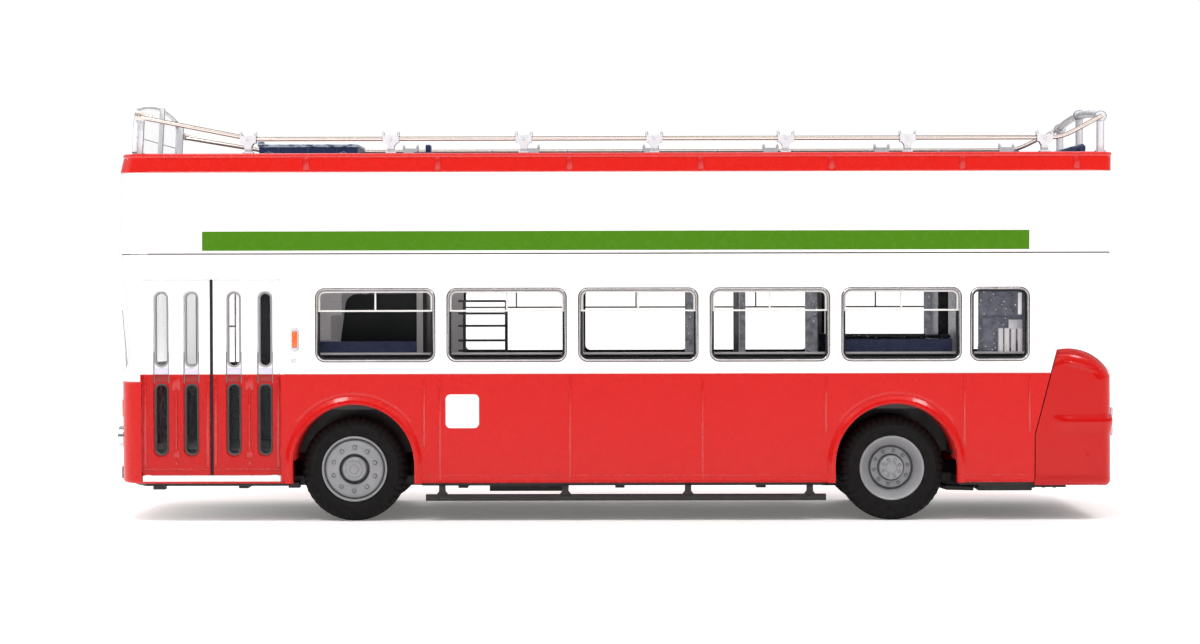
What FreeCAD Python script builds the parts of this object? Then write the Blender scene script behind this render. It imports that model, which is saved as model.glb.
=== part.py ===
import FreeCAD, Part
import math
import os
import Sketcher
from FreeCAD import Placement, Rotation, Vector

# Open-top double-deck bus, a 1:76 scale model. Millimetres.
# +Z up, front towards -X, entrance side towards -Y, origin on the ground
# under the middle of the model.

os.makedirs("parts", exist_ok=True)
doc = FreeCAD.newDocument("open_top_bus_model")
sheet = doc.addObject("Spreadsheet::Sheet", "dims")

SIZES = [
    # body outline in plan
    ("half_width", 16.4, "half the body width"),
    ("front_face", 62.5, "front face at its corners, ahead of the middle"),
    ("front_corner", 59.1, "where the side meets the front corner curve"),
    ("front_corner_y", 13.0, "half width of the bowed front"),
    ("front_corner_rad", 3.5, "front corner radius in plan"),
    ("front_bow_rad", 170.0, "radius of the bowed front"),
    ("rear_face", 62.35, "rear face"),
    ("rear_corner_rad", 1.8, "rear corner radius"),
    ("wall", 1.2, "casting wall thickness"),
    ("nose_low", 0.38, "how far the upper front stands ahead, at its bottom"),
    ("nose_high", 0.05, "the same at the bottom of the band"),
    ("nose_top", -0.5, "the same at the top of the band"),
    # heights
    ("skirt_z", 4.85, "bottom edge of the skirt"),
    ("waist_z", 18.6, "colour division between red and white"),
    ("lower_top_z", 33.7, "top of the lower casting"),
    ("upper_bottom_z", 33.8, "bottom of the upper casting"),
    ("band_z", 44.1, "bottom of the red band"),
    ("top_z", 46.35, "top of the band"),
    ("deck_thick", 1.0, "thickness of the upper deck's cast floor"),
    # side windows
    ("win_low", 20.2, "window opening, bottom"),
    ("win_high", 29.35, "window opening, top"),
    ("win_first", -37.6, "front edge of the first window"),
    ("win_wide", 14.95, "window width"),
    ("win_pitch", 16.53, "window pitch"),
    ("win_rad", 1.15, "window corner radius"),
    ("win_last", 44.65, "front edge of the short last window"),
    ("win_last_wide", 7.35, "short window width"),
    # wheels
    ("axle_z", 6.6, "axle height, equal to the tyre radius"),
    ("front_axle_x", -32.9, "front axle"),
    ("rear_axle_x", 34.9, "rear axle"),
    ("tyre_rad", 6.6, "tyre outer radius"),
    ("axle_rad", 0.75, "axle pin radius"),
    ("axle_bore", 0.80, "bore radius in the saddles"),
    ("rim_rad", 4.15, "front rim radius"),
    ("rear_rim_rad", 4.1, "rear rim radius"),
    # wheel arches
    ("rear_arch_x", 35.35, "rear arch centre, a little behind its axle"),
    ("arch_z", 7.2, "height of the arch centre"),
    ("arch_rad", 7.65, "arch radius"),
    ("flare", 0.42, "how far the arch lip stands out"),
    # entrance
    ("door_front", -59.6, "front edge of the door opening"),
    ("door_rear", -42.0, "rear edge of the door opening"),
    ("door_low", 5.9, "bottom of the doors"),
    ("door_high", 30.8, "top of the doors"),
    ("door_gap", -50.8, "middle gap between the door pairs"),
    ("door_face", 15.95, "outer face of the doors"),
    ("door_thick", 0.75, "door thickness"),
    # engine cover
    ("cover_front", 52.8, "front edge of the engine cover, low down"),
    ("cover_front_top", 55.6, "front edge of the engine cover, at its top"),
    ("cover_knee_z", 10.8, "height where the front edge starts to slope"),
    ("cover_top_z", 21.56, "top of the engine cover"),
    ("cover_back_z", 18.15, "height where the top meets the back"),
    ("cover_low_z", 4.3, "bottom of the engine cover"),
    ("cover_half", 16.45, "half width of the engine cover"),
    ("cover_rad", 6.2, "radius of the top curve"),
    # interior
    ("floor_z", 8.3, "underside of the saloon floor"),
    ("floor_thick", 0.8, "saloon floor thickness"),
    ("seat_pitch", 9.46, "seat pitch"),
    ("upper_seat_first", -43.9, "back of the first nearside upper seat"),
    ("upper_seat_top", 46.75, "top of the upper seats"),
    ("upper_floor_z", 34.85, "underside of the upper floor moulding"),
    ("upper_floor_thick", 0.65, "upper floor moulding thickness"),
    ("aisle_half", 4.6, "half width of the aisle"),
    ("seat_out", 14.6, "outer side of the seats"),
    # handrails
    ("rail_y", 15.6, "handrail distance from the middle"),
    ("rail_z", 48.2, "nearside handrail height"),
    ("rail_off_z", 48.05, "offside handrail height"),
    ("rail_rad", 0.28, "handrail radius"),
    ("rear_rail_rad", 0.5, "rear handrail radius"),
    ("rear_rail_x", 61.2, "rear handrail position"),
    # base
    ("plate_low", 4.45, "underside of the base plate"),
    ("plate_thick", 0.95, "base plate thickness"),
    ("screw_rad", 1.1, "base screw hole radius"),
]

VALUE = {}
for row, (alias, value, note) in enumerate(SIZES, start=1):
    sheet.set("A%d" % row, note)
    sheet.set("B%d" % row, repr(float(value)))
    sheet.setAlias("B%d" % row, alias)
    VALUE[alias] = float(value)
doc.recompute()


class Q:
    """A size: its number, and the text that binds it to the sheet."""

    def __init__(self, text, value):
        self.text = text
        self.value = float(value)

    def __add__(self, other):
        other = q(other)
        return Q("(%s + %s)" % (self.text, other.text), self.value + other.value)

    __radd__ = __add__

    def __sub__(self, other):
        other = q(other)
        return Q("(%s - %s)" % (self.text, other.text), self.value - other.value)

    def __rsub__(self, other):
        return q(other) - self

    def __mul__(self, other):
        other = q(other)
        return Q("(%s * %s)" % (self.text, other.text), self.value * other.value)

    __rmul__ = __mul__

    def __truediv__(self, other):
        other = q(other)
        return Q("(%s / %s)" % (self.text, other.text), self.value / other.value)

    def __neg__(self):
        return Q("(0 - %s)" % self.text, -self.value)


def q(x):
    return x if isinstance(x, Q) else Q("%.5f" % float(x) if float(x) >= 0 else "(%.5f)" % float(x), x)


class Dims:
    def __getattr__(self, name):
        return Q("dims." + name, VALUE[name])


d = Dims()


def bind(obj, prop, size):
    size = q(size)
    obj.setExpression(prop, size.text)


def new_body(label):
    body = doc.addObject("PartDesign::Body", label)
    body.Label = label
    body.AllowCompound = True
    NODES[label] = body
    return body


NODES = {}


def plane_of(body, role):
    for feature in body.Origin.OriginFeatures:
        if feature.Role == role:
            return feature
    raise ValueError(role)


def new_sketch(body, role, offset=0.0):
    """role XY: (x, y), normal +Z.  XZ: (x, z), normal -Y.  YZ: (y, z), normal +X."""
    sk = body.newObject("Sketcher::SketchObject", "Sketch")
    sk.AttachmentSupport = [(plane_of(body, role + "_Plane"), "")]
    sk.MapMode = "FlatFace"
    offset = q(offset)
    sk.AttachmentOffset = Placement(Vector(0, 0, offset.value), Rotation())
    bind(sk, "AttachmentOffset.Base.z", offset)
    return sk


def arc_mid(p, r_pt, radius):
    """Centre of the short arc from p to r_pt; radius > 0 turns left (anticlockwise)."""
    (x0, y0), (x1, y1) = p, r_pt
    mx, my = (x0 + x1) / 2, (y0 + y1) / 2
    dx, dy = x1 - x0, y1 - y0
    length = math.hypot(dx, dy)
    lift = math.sqrt(max(radius * radius - length * length / 4, 0.0))
    nx, ny = -dy / length, dx / length
    side = 1 if radius > 0 else -1
    return mx + side * nx * lift, my + side * ny * lift


def fix_point(sk, todo, exprs, geo, pos, x, y):
    x, y = q(x), q(y)
    for axis, size in (("DistanceX", x), ("DistanceY", y)):
        if abs(size.value) < 1e-9:
            todo.append(Sketcher.Constraint("PointOnObject", geo, pos, -2 if axis == "DistanceX" else -1))
            exprs.append(None)
        else:
            todo.append(Sketcher.Constraint(axis, -1, 1, geo, pos, size.value))
            exprs.append(size)


def loop(sk, points):
    """A closed outline. Each point is (x, y) or (x, y, radius), where radius
    bends the edge that leaves it: > 0 anticlockwise, < 0 clockwise."""
    start = sk.GeometryCount
    n = len(points)
    todo, exprs = [], []
    flat = [(q(p[0]).value, q(p[1]).value) for p in points]
    for i, p in enumerate(points):
        a, b = flat[i], flat[(i + 1) % n]
        if len(p) == 3:
            rad = q(p[2])
            cx, cy = arc_mid(a, b, rad.value)
            a0 = math.atan2(a[1] - cy, a[0] - cx)
            a1 = math.atan2(b[1] - cy, b[0] - cx)
            if rad.value < 0:
                a0, a1 = a1, a0
            while a1 <= a0:
                a1 += 2 * math.pi
            circle = Part.Circle(Vector(cx, cy, 0), Vector(0, 0, 1), abs(rad.value))
            sk.addGeometry(Part.ArcOfCircle(circle, a0, a1), False)
            todo.append(Sketcher.Constraint("Radius", start + i, abs(rad.value)))
            exprs.append(rad if rad.value > 0 else -rad)
        else:
            sk.addGeometry(Part.LineSegment(Vector(a[0], a[1], 0), Vector(b[0], b[1], 0)), False)

    def ends(i):
        p = points[i]
        return (2, 1) if len(p) == 3 and q(p[2]).value < 0 else (1, 2)

    for i in range(n):
        j = (i + 1) % n
        todo.append(Sketcher.Constraint("Coincident", start + i, ends(i)[1], start + j, ends(j)[0]))
        exprs.append(None)
    for i, p in enumerate(points):
        fix_point(sk, todo, exprs, start + i, ends(i)[0], p[0], p[1])
    base = sk.ConstraintCount
    sk.addConstraint(todo)
    for k, size in enumerate(exprs):
        if size is not None:
            bind(sk, "Constraints[%d]" % (base + k), size)


def path(sk, points):
    """An open run of lines and arcs, for a sweep."""
    start = sk.GeometryCount
    n = len(points)
    todo, exprs = [], []
    flat = [(q(p[0]).value, q(p[1]).value) for p in points]
    swap = []
    for i in range(n - 1):
        p = points[i]
        a, b = flat[i], flat[i + 1]
        if len(p) == 3:
            rad = q(p[2])
            cx, cy = arc_mid(a, b, rad.value)
            a0 = math.atan2(a[1] - cy, a[0] - cx)
            a1 = math.atan2(b[1] - cy, b[0] - cx)
            if rad.value < 0:
                a0, a1 = a1, a0
            while a1 <= a0:
                a1 += 2 * math.pi
            circle = Part.Circle(Vector(cx, cy, 0), Vector(0, 0, 1), abs(rad.value))
            sk.addGeometry(Part.ArcOfCircle(circle, a0, a1), False)
            todo.append(Sketcher.Constraint("Radius", start + i, abs(rad.value)))
            exprs.append(rad if rad.value > 0 else -rad)
            swap.append(rad.value < 0)
        else:
            sk.addGeometry(Part.LineSegment(Vector(a[0], a[1], 0), Vector(b[0], b[1], 0)), False)
            swap.append(False)
    for i in range(n - 2):
        todo.append(Sketcher.Constraint("Coincident", start + i, 1 if swap[i] else 2, start + i + 1, 2 if swap[i + 1] else 1))
        exprs.append(None)
    for i, p in enumerate(points):
        if i < n - 1:
            fix_point(sk, todo, exprs, start + i, 2 if swap[i] else 1, p[0], p[1])
        else:
            fix_point(sk, todo, exprs, start + i - 1, 1 if swap[i - 1] else 2, p[0], p[1])
    base = sk.ConstraintCount
    sk.addConstraint(todo)
    for k, size in enumerate(exprs):
        if size is not None:
            bind(sk, "Constraints[%d]" % (base + k), size)


def rect(sk, x0, y0, x1, y1):
    loop(sk, [(x0, y0), (x1, y0), (x1, y1), (x0, y1)])


def round_rect(sk, x0, y0, x1, y1, rad):
    x0, y0, x1, y1, rad = q(x0), q(y0), q(x1), q(y1), q(rad)
    loop(sk, [
        (x0 + rad, y0), (x1 - rad, y0, rad),
        (x1, y0 + rad), (x1, y1 - rad, rad),
        (x1 - rad, y1), (x0 + rad, y1, rad),
        (x0, y1 - rad), (x0, y0 + rad, rad),
    ])


def circle(sk, x, y, rad):
    geo = sk.GeometryCount
    rad = q(rad)
    sk.addGeometry(Part.Circle(Vector(q(x).value, q(y).value, 0), Vector(0, 0, 1), rad.value), False)
    todo, exprs = [Sketcher.Constraint("Radius", geo, rad.value)], [rad]
    fix_point(sk, todo, exprs, geo, 3, x, y)
    base = sk.ConstraintCount
    sk.addConstraint(todo)
    for k, size in enumerate(exprs):
        if size is not None:
            bind(sk, "Constraints[%d]" % (base + k), size)


def pad(body, sk, length, both=False, back=False):
    f = body.newObject("PartDesign::Pad", "Pad")
    f.Profile = (sk, [""])
    bind(f, "Length", length)
    if both:
        f.SideType = "Symmetric"
    f.Reversed = back
    body.Tip = f
    return f


CUTS = []


def pocket(body, sk, length, both=False, back=False):
    """Cuts against the sketch's normal, or along it with back=True."""
    f = body.newObject("PartDesign::Pocket", "Pocket")
    f.Profile = (sk, [""])
    bind(f, "Length", length)
    if both:
        f.SideType = "Symmetric"
    f.Reversed = back
    body.Tip = f
    CUTS.append(f)
    return f


def fillet(body, rad, pick):
    """Rounds the edges of the body so far that pick(edge) accepts."""
    doc.recompute()
    tip = body.Tip
    names = ["Edge%d" % (i + 1) for i, e in enumerate(tip.Shape.Edges) if pick(e)]
    if not names:
        raise ValueError("no edge to round on " + body.Label)
    f = body.newObject("PartDesign::Fillet", "Fillet")
    f.Base = (tip, names)
    bind(f, "Radius", rad)
    body.Tip = f
    return f


def pattern(body, features, role, step, count):
    f = body.newObject("PartDesign::LinearPattern", "LinearPattern")
    f.Originals = features
    axis = [o for o in body.Origin.OriginFeatures if o.Role == role][0]
    f.Direction = (axis, [""])
    f.Mode = "Spacing"
    bind(f, "Offset", step)
    f.Occurrences = count
    body.Tip = f
    return f


def mirror(body, features, role):
    f = body.newObject("PartDesign::Mirrored", "Mirrored")
    f.Originals = features
    f.MirrorPlane = (plane_of(body, role + "_Plane"), [""])
    body.Tip = f
    return f


def revolve(body, sk, angle=360.0, back=False):
    f = body.newObject("PartDesign::Revolution", "Revolution")
    f.Profile = (sk, [""])
    f.ReferenceAxis = (sk, ["V_Axis"])
    f.Angle = angle
    f.Reversed = back
    body.Tip = f
    return f


def outline(sk, inset, nose=0.0):
    """The body's plan outline, moved in by inset and its front moved ahead by nose."""
    inset = q(inset)
    hw = d.half_width - inset
    rear = d.rear_face - inset
    rr = d.rear_corner_rad if inset.value < 0.5 else d.rear_corner_rad - inset * 0.8
    fr = d.front_corner_rad - inset
    fx = d.front_face - inset + nose
    corner = d.front_corner + nose
    loop(sk, [
        (-corner, -hw), (rear - rr, -hw, rr),
        (rear, -(hw - rr)), (rear, hw - rr, rr),
        (rear - rr, hw), (-corner, hw, fr),
        (-fx, d.front_corner_y, d.front_bow_rad), (-fx, -d.front_corner_y, fr),
    ])


def between(body, low, high):
    """A solid whose sides run straight from one outline to another above it."""
    f = body.newObject("PartDesign::AdditiveLoft", "Between")
    f.Profile = low
    f.Sections = [high]
    f.Ruled = True
    body.Tip = f
    return f


def box_node(label, boxes):
    """A node of plain blocks, each (x0, x1, y0, y1, z0, z1)."""
    body = new_body(label)
    for x0, x1, y0, y1, z0, z1 in boxes:
        sk = new_sketch(body, "XY", z0)
        rect(sk, x0, y0, x1, y1)
        pad(body, sk, q(z1) - q(z0))
    return body


# ---------------------------------------------------------------- lower casting
HEADLAMPS = (-12.0, -9.3, 9.3, 12.0)
lower = new_body("lower_deck_body")
sk = new_sketch(lower, "XY", d.skirt_z)
outline(sk, 0)
pad(lower, sk, d.lower_top_z - d.skirt_z)
fillet(lower, 0.45, lambda e: abs(e.BoundBox.ZMax - VALUE["skirt_z"]) < 1e-4 and abs(e.BoundBox.ZMin - VALUE["skirt_z"]) < 1e-4)
# hollow all the way through, closed above by the upper casting
sk = new_sketch(lower, "XY", d.skirt_z - 1)
outline(sk, d.wall)
pocket(lower, sk, d.lower_top_z - d.skirt_z + 3, back=True)
# cut away at the back for the engine cover
sk = new_sketch(lower, "XZ")
gap = 0.12
loop(sk, [
    (d.cover_front - gap, 2.0), (d.rear_face + 3, 2.0),
    (d.rear_face + 3, d.cover_back_z + gap), (d.rear_face + 0.1 + gap, d.cover_back_z + gap, d.cover_rad + gap),
    (d.cover_front_top - gap, d.cover_top_z + gap), (d.cover_front - gap, d.cover_knee_z),
])
pocket(lower, sk, 40, both=True)
# wheel arches through both sides
for x in (d.front_axle_x, d.rear_arch_x):
    sk = new_sketch(lower, "XZ")
    loop(sk, [
        (x - d.arch_rad, 2.0), (x + d.arch_rad, 2.0),
        (x + d.arch_rad, d.arch_z, d.arch_rad), (x, d.arch_z + d.arch_rad, d.arch_rad),
        (x - d.arch_rad, d.arch_z),
    ])
    pocket(lower, sk, 40, both=True)
# rolled lips round the arches: a section turned over the top and carried down to the skirt
for side in (-1, 1):
    for x in (d.front_axle_x, d.rear_arch_x):
        face = d.half_width * side
        out = d.flare * side
        lip = [
            (x + d.arch_rad, face - 0.35 * side), (x + d.arch_rad, face + out * 0.6),
            (x + d.arch_rad + 0.2, face + out), (x + d.arch_rad + 0.5, face + out * 0.95),
            (x + d.arch_rad + 0.95, face + out * 0.25), (x + d.arch_rad + 1.05, face - 0.35 * side),
        ]
        sk = new_sketch(lower, "XY", d.arch_z)
        loop(sk, lip)
        axis = sk.GeometryCount
        sk.addGeometry(Part.LineSegment(Vector(x.value, 0, 0), Vector(x.value, 10, 0)), True)
        todo, exprs = [], []
        fix_point(sk, todo, exprs, axis, 1, x, 0)
        fix_point(sk, todo, exprs, axis, 2, x, 10)
        base = sk.ConstraintCount
        sk.addConstraint(todo)
        for k, size in enumerate(exprs):
            if size is not None:
                bind(sk, "Constraints[%d]" % (base + k), size)
        turn = lower.newObject("PartDesign::Revolution", "Lip")
        turn.Profile = (sk, [""])
        turn.ReferenceAxis = (sk, ["Axis0"])
        turn.Angle = 180.0
        turn.Reversed = True
        lower.Tip = turn
        for sign in (1, -1):
            legs = [(x + (p[0] - x) * sign, p[1]) for p in lip]
            leg = new_sketch(lower, "XY", d.arch_z)
            loop(leg, legs)
            pad(lower, leg, d.arch_z - d.skirt_z, back=True)
# side windows: five alike on the nearside; the offside has no first one, where the stairs are
for side in (-1, 1):
    first = 0 if side < 0 else 1
    sk = new_sketch(lower, "XZ", -(d.half_width + 1) * side)
    x0 = d.win_first + d.win_pitch * first
    round_rect(sk, x0, d.win_low, x0 + d.win_wide, d.win_high, d.win_rad)
    cut = pocket(lower, sk, 2.6, back=side > 0)
    pattern(lower, [cut], "X_Axis", d.win_pitch, 5 - first)
    sk = new_sketch(lower, "XZ", -(d.half_width + 1) * side)
    round_rect(sk, d.win_last, d.win_low, d.win_last + d.win_last_wide, d.win_high, d.win_rad)
    pocket(lower, sk, 2.6, back=side > 0)
# entrance opening
sk = new_sketch(lower, "XZ", d.half_width + 1)
rect(sk, d.door_front, d.skirt_z + 0.25, d.door_rear, d.door_high)
pocket(lower, sk, 2.6)
# driver's side window, with a lower front corner
sk = new_sketch(lower, "XZ", -(d.half_width + 1))
loop(sk, [(-57.6, 18.6), (-47.4, 18.6), (-46.6, 19.4), (-46.6, 28.6), (-47.4, 29.4), (-56.8, 29.4), (-58.2, 28.0), (-58.2, 19.2)])
pocket(lower, sk, 2.6, back=True)
# windscreen: two panes with a middle pillar, carried round the corners
sk = new_sketch(lower, "YZ", -66.7)
round_rect(sk, -15.7, 18.9, -0.35, 29.9, 1.3)
round_rect(sk, 0.35, 18.9, 15.7, 29.9, 1.3)
pocket(lower, sk, 5.8, back=True)
# headlamp seats
sk = new_sketch(lower, "YZ", -66.7)
for y in HEADLAMPS:
    circle(sk, y, 10.6, 1.2)
pocket(lower, sk, 4.4, back=True)
# rear window
sk = new_sketch(lower, "YZ", d.rear_face + 1)
round_rect(sk, -11.6, 23.2, 11.6, 29.9, 1.2)
pocket(lower, sk, 2.6)

# ---------------------------------------------------------------- upper casting
upper = new_body("upper_deck_body")
low = new_sketch(upper, "XY", d.upper_bottom_z)
outline(low, 0, d.nose_low)
high = new_sketch(upper, "XY", d.band_z)
outline(high, 0, d.nose_high)
between(upper, low, high)
low = new_sketch(upper, "XY", d.band_z)
outline(low, -0.1, d.nose_high)
high = new_sketch(upper, "XY", d.top_z)
outline(high, -0.1, d.nose_top)
between(upper, low, high)
fillet(upper, 0.3, lambda e: abs(e.BoundBox.ZMin - VALUE["top_z"]) < 1e-4 and abs(e.BoundBox.ZMax - VALUE["top_z"]) < 1e-4)
sk = new_sketch(upper, "XY", d.top_z + 1)
outline(sk, d.wall)
pocket(upper, sk, d.top_z + 1 - (d.upper_bottom_z + d.deck_thick))
# stairwell through the deck
sk = new_sketch(upper, "XY", d.upper_bottom_z - 1)
rect(sk, -44.2, 6.0, -35.9, 14.2)
pocket(upper, sk, 4, back=True)
# destination box recess in the front
sk = new_sketch(upper, "YZ", -66.7)
round_rect(sk, -9.2, 35.6, 9.2, 41.2, 0.5)
pocket(upper, sk, 4.35, back=True)

# ---------------------------------------------------------------- engine cover
cover = new_body("engine_cover")
sk = new_sketch(cover, "XZ")
loop(sk, [
    (d.cover_front, d.cover_low_z), (d.rear_face - 0.6, d.cover_low_z, 0.8),
    (d.rear_face + 0.2, d.cover_low_z + 0.8), (d.rear_face + 0.1, d.cover_back_z, d.cover_rad),
    (d.cover_front_top, d.cover_top_z), (d.cover_front, d.cover_knee_z),
])
pad(cover, sk, d.cover_half * 2, both=True)
# rounded over the roof curve and down both rear corners
fillet(cover, 1.9, lambda e: abs(e.BoundBox.YMax - e.BoundBox.YMin) < 1e-4 and abs(abs(e.BoundBox.YMin) - VALUE["cover_half"]) < 1e-4
       and ((e.BoundBox.ZMax > 18.0 and e.BoundBox.ZMin < 5.5 and e.BoundBox.XMin > 61.3) or e.BoundBox.ZMin > 18.0))
sk = new_sketch(cover, "XZ")
loop(sk, [
    (50.0, 3.0), (d.rear_face - 1.3, 3.0), (d.rear_face - 1.3, d.cover_back_z - 1.2),
    (d.rear_face - 3.8, d.cover_top_z - 2.2), (d.cover_front_top + 1.4, d.cover_top_z - 1.3), (50.0, d.cover_top_z - 1.3),
])
pocket(cover, sk, d.cover_half * 2 - 2.6, both=True)

# ---------------------------------------------------------------- entrance doors
def door_pair(label, x0, x1):
    x0, x1 = q(x0), q(x1)
    body = new_body(label)
    sk = new_sketch(body, "XZ", d.door_face - d.door_thick)
    rect(sk, x0, d.door_low, x1, d.door_high - 0.1)
    pad(body, sk, d.door_thick)
    return body


front_doors = door_pair("front_door_pair", d.door_front + 0.1, d.door_gap - 0.2)
rear_doors = door_pair("rear_door_pair", d.door_gap + 0.2, d.door_rear - 0.1)
for body, panes in ((front_doors, (-57.15, -53.35)), (rear_doors, (-48.0, -44.05))):
    for x in panes:
        # shallow channel from top pane to bottom pane, then both panes right through
        sk = new_sketch(body, "XZ", d.door_face + 1)
        round_rect(sk, x - 1.0, 8.2, x + 1.0, 29.3, 0.9)
        pocket(body, sk, 1.3)
        for z0, z1 in ((8.4, 17.45), (19.5, 29.0)):
            sk = new_sketch(body, "XZ", d.door_face + 1)
            round_rect(sk, x - 0.86, z0, x + 0.86, z1, 0.82)
            pocket(body, sk, 3.0)
glass = new_body("door_glazing")
sk = new_sketch(glass, "XZ", d.door_face - d.door_thick - 0.45)
rect(sk, d.door_front + 0.3, 7.6, d.door_gap - 0.3, 30.2)
rect(sk, d.door_gap + 0.3, 7.6, d.door_rear - 0.3, 30.2)
pad(glass, sk, 0.42)
step = new_body("entrance_step")
sk = new_sketch(step, "XZ", d.door_face - d.door_thick)
rect(sk, d.door_front + 0.15, d.skirt_z + 0.28, d.door_rear - 0.15, d.door_low - 0.06)
pad(step, sk, 1.1)

# ---------------------------------------------------------------- glazing
def side_glass(label, side, first):
    body = new_body(label)
    face = d.half_width - d.wall - 0.03
    sk = new_sketch(body, "XZ", -(face - 0.5) * side)
    rect(sk, d.win_first + d.win_pitch * first - 0.8, d.win_low - 0.8, d.win_last + d.win_last_wide + 0.8, d.win_high + 0.8)
    pad(body, sk, 0.5, back=side > 0)
    # panes that fill the window openings, a little under the outer face
    x0 = d.win_first + d.win_pitch * first
    sk = new_sketch(body, "XZ", -(face - 0.2) * side)
    round_rect(sk, x0 + 0.08, d.win_low + 0.08, x0 + d.win_wide - 0.08, d.win_high - 0.08, d.win_rad)
    panes = pad(body, sk, 0.75, back=side > 0)
    pattern(body, [panes], "X_Axis", d.win_pitch, 5 - first)
    sk = new_sketch(body, "XZ", -(face - 0.2) * side)
    round_rect(sk, d.win_last + 0.08, d.win_low + 0.08, d.win_last + d.win_last_wide - 0.08, d.win_high - 0.08, d.win_rad)
    pad(body, sk, 0.75, back=side > 0)
    return body


side_glass("nearside_glazing", -1, 0)
side_glass("offside_glazing", 1, 1)
cab = NODES["offside_glazing"]
sk = new_sketch(cab, "XZ", -(d.half_width - d.wall - 0.03))
rect(sk, -58.0, 18.0, -46.0, 30.0)
pad(cab, sk, 0.4)
screen = new_body("lower_windscreen")
sk = new_sketch(screen, "XY", 19.0)
fx = d.front_face
for side in (-1, 1):
    turn = -side
    loop(sk, [
        (-(fx + 0.18), 0.45 * side, 169.7 * turn), (-(fx - 0.3), 13.0 * side, 3.2 * turn),
        (-(fx - 1.45), 15.357 * side), (-(fx - 1.45), 14.148 * side, -2.4 * turn),
        (-(fx - 1.1), 13.0 * side, -168.9 * turn), (-(fx - 0.62), 0.45 * side),
    ])
pad(screen, sk, 10.8)
sk = new_sketch(screen, "YZ", -66.7)
rect(sk, -18, 17, 18, 32)
round_rect(sk, -15.6, 19.0, -0.45, 29.8, 1.35)
round_rect(sk, 0.45, 19.0, 15.6, 29.8, 1.35)
pocket(screen, sk, 12, back=True)
rear_glass = new_body("rear_window")
sk = new_sketch(rear_glass, "YZ", d.rear_face - 1.0)
round_rect(sk, -11.5, 23.3, 11.5, 29.8, 1.1)
pad(rear_glass, sk, 0.75)
dest = new_body("destination_panel")
sk = new_sketch(dest, "YZ", -(d.front_face - 0.14))
round_rect(sk, -9.1, 35.7, 9.1, 41.1, 0.45)
pad(dest, sk, 0.28, back=True)

# ---------------------------------------------------------------- upper deck
deck = new_body("upper_deck_floor")
sk = new_sketch(deck, "XY", d.upper_floor_z)
outline(sk, d.wall + 0.15)
pad(deck, sk, d.upper_floor_thick)
sk = new_sketch(deck, "XY", d.upper_floor_z - 1)
rect(sk, -44.0, 6.2, -36.1, 14.0)
pocket(deck, sk, 3, back=True)


def seat_profile(x, floor, cushion, top):
    """A seat facing forwards: raked back, cushion and pedestal. x is the back's top."""
    return [
        (x + 0.55, top), (x - 0.45, top), (x - 1.1, cushion + 0.1), (x - 5.6, cushion + 0.35),
        (x - 5.75, cushion - 1.0), (x - 4.1, cushion - 1.2), (x - 4.1, floor), (x - 2.0, floor),
        (x - 2.0, cushion - 1.4), (x - 0.25, cushion - 1.4),
    ]


def seat_row(label, x, floor, cushion, top, y0, y1, count):
    body = new_body(label)
    floor, cushion, top = q(floor), q(cushion), q(top)
    lo = q(y0)
    sk = new_sketch(body, "XZ", -lo)
    loop(sk, seat_profile(q(x), floor, cushion, top))
    f = pad(body, sk, q(y1) - lo, back=True)
    if count > 1:
        pattern(body, [f], "X_Axis", d.seat_pitch, count)
    return body


upper_floor_top = d.upper_floor_z + d.upper_floor_thick + 0.02
seat_row("upper_seats_nearside", d.upper_seat_first, upper_floor_top, d.upper_seat_top - 5.9, d.upper_seat_top, -d.seat_out, -d.aisle_half, 11)
offside_seats = seat_row("upper_seats_offside", d.upper_seat_first + d.seat_pitch * 2, upper_floor_top, d.upper_seat_top - 5.9, d.upper_seat_top, d.aisle_half, d.seat_out, 9)
sk = new_sketch(offside_seats, "XY", d.upper_seat_top - 0.1)
rect(sk, -25.35, 4.8, -24.6, 7.4)
pad(offside_seats, sk, q(48.5) - (d.upper_seat_top - 0.1))
seat_row("upper_rear_bench", 58.95, upper_floor_top, d.upper_seat_top - 5.9, d.upper_seat_top + 0.7, -14.5, 14.5, 1)
# walls round the stairwell
cover_box = new_body("stair_cover")
sk = new_sketch(cover_box, "XY", upper_floor_top)
loop(sk, [(-47.6, 5.0), (-34.4, 5.0), (-34.4, 14.7), (-35.1, 14.7), (-35.1, 5.7), (-46.9, 5.7), (-46.9, 14.7), (-47.6, 14.7)])
pad(cover_box, sk, q(48.45) - upper_floor_top)

# upper windscreen: a low clear sheet with an arched top edge and short side returns
uscreen = new_body("upper_windscreen")
sk = new_sketch(uscreen, "XZ")
loop(sk, [(-60.75, d.top_z), (-60.3, d.top_z), (-59.85, 53.6), (-60.3, 53.6)])
pad(uscreen, sk, 31.0, both=True)
sk = new_sketch(uscreen, "YZ", -66.7)
rect(sk, -18, 44, 18, 56)
loop(sk, [(-15.5, d.top_z - 0.5), (15.5, d.top_z - 0.5), (15.5, 51.0, 1.4), (14.3, 52.1, 108.0), (-14.3, 52.1, 1.4), (-15.5, 51.0)])
pocket(uscreen, sk, 12, back=True)
for side in (-1, 1):
    sk = new_sketch(uscreen, "XZ", -15.05 * side)
    loop(sk, [(-60.5, d.top_z), (-59.2, d.top_z), (-59.2, 50.3), (-60.3, 50.5)])
    pad(uscreen, sk, 0.45, back=side > 0)
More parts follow.
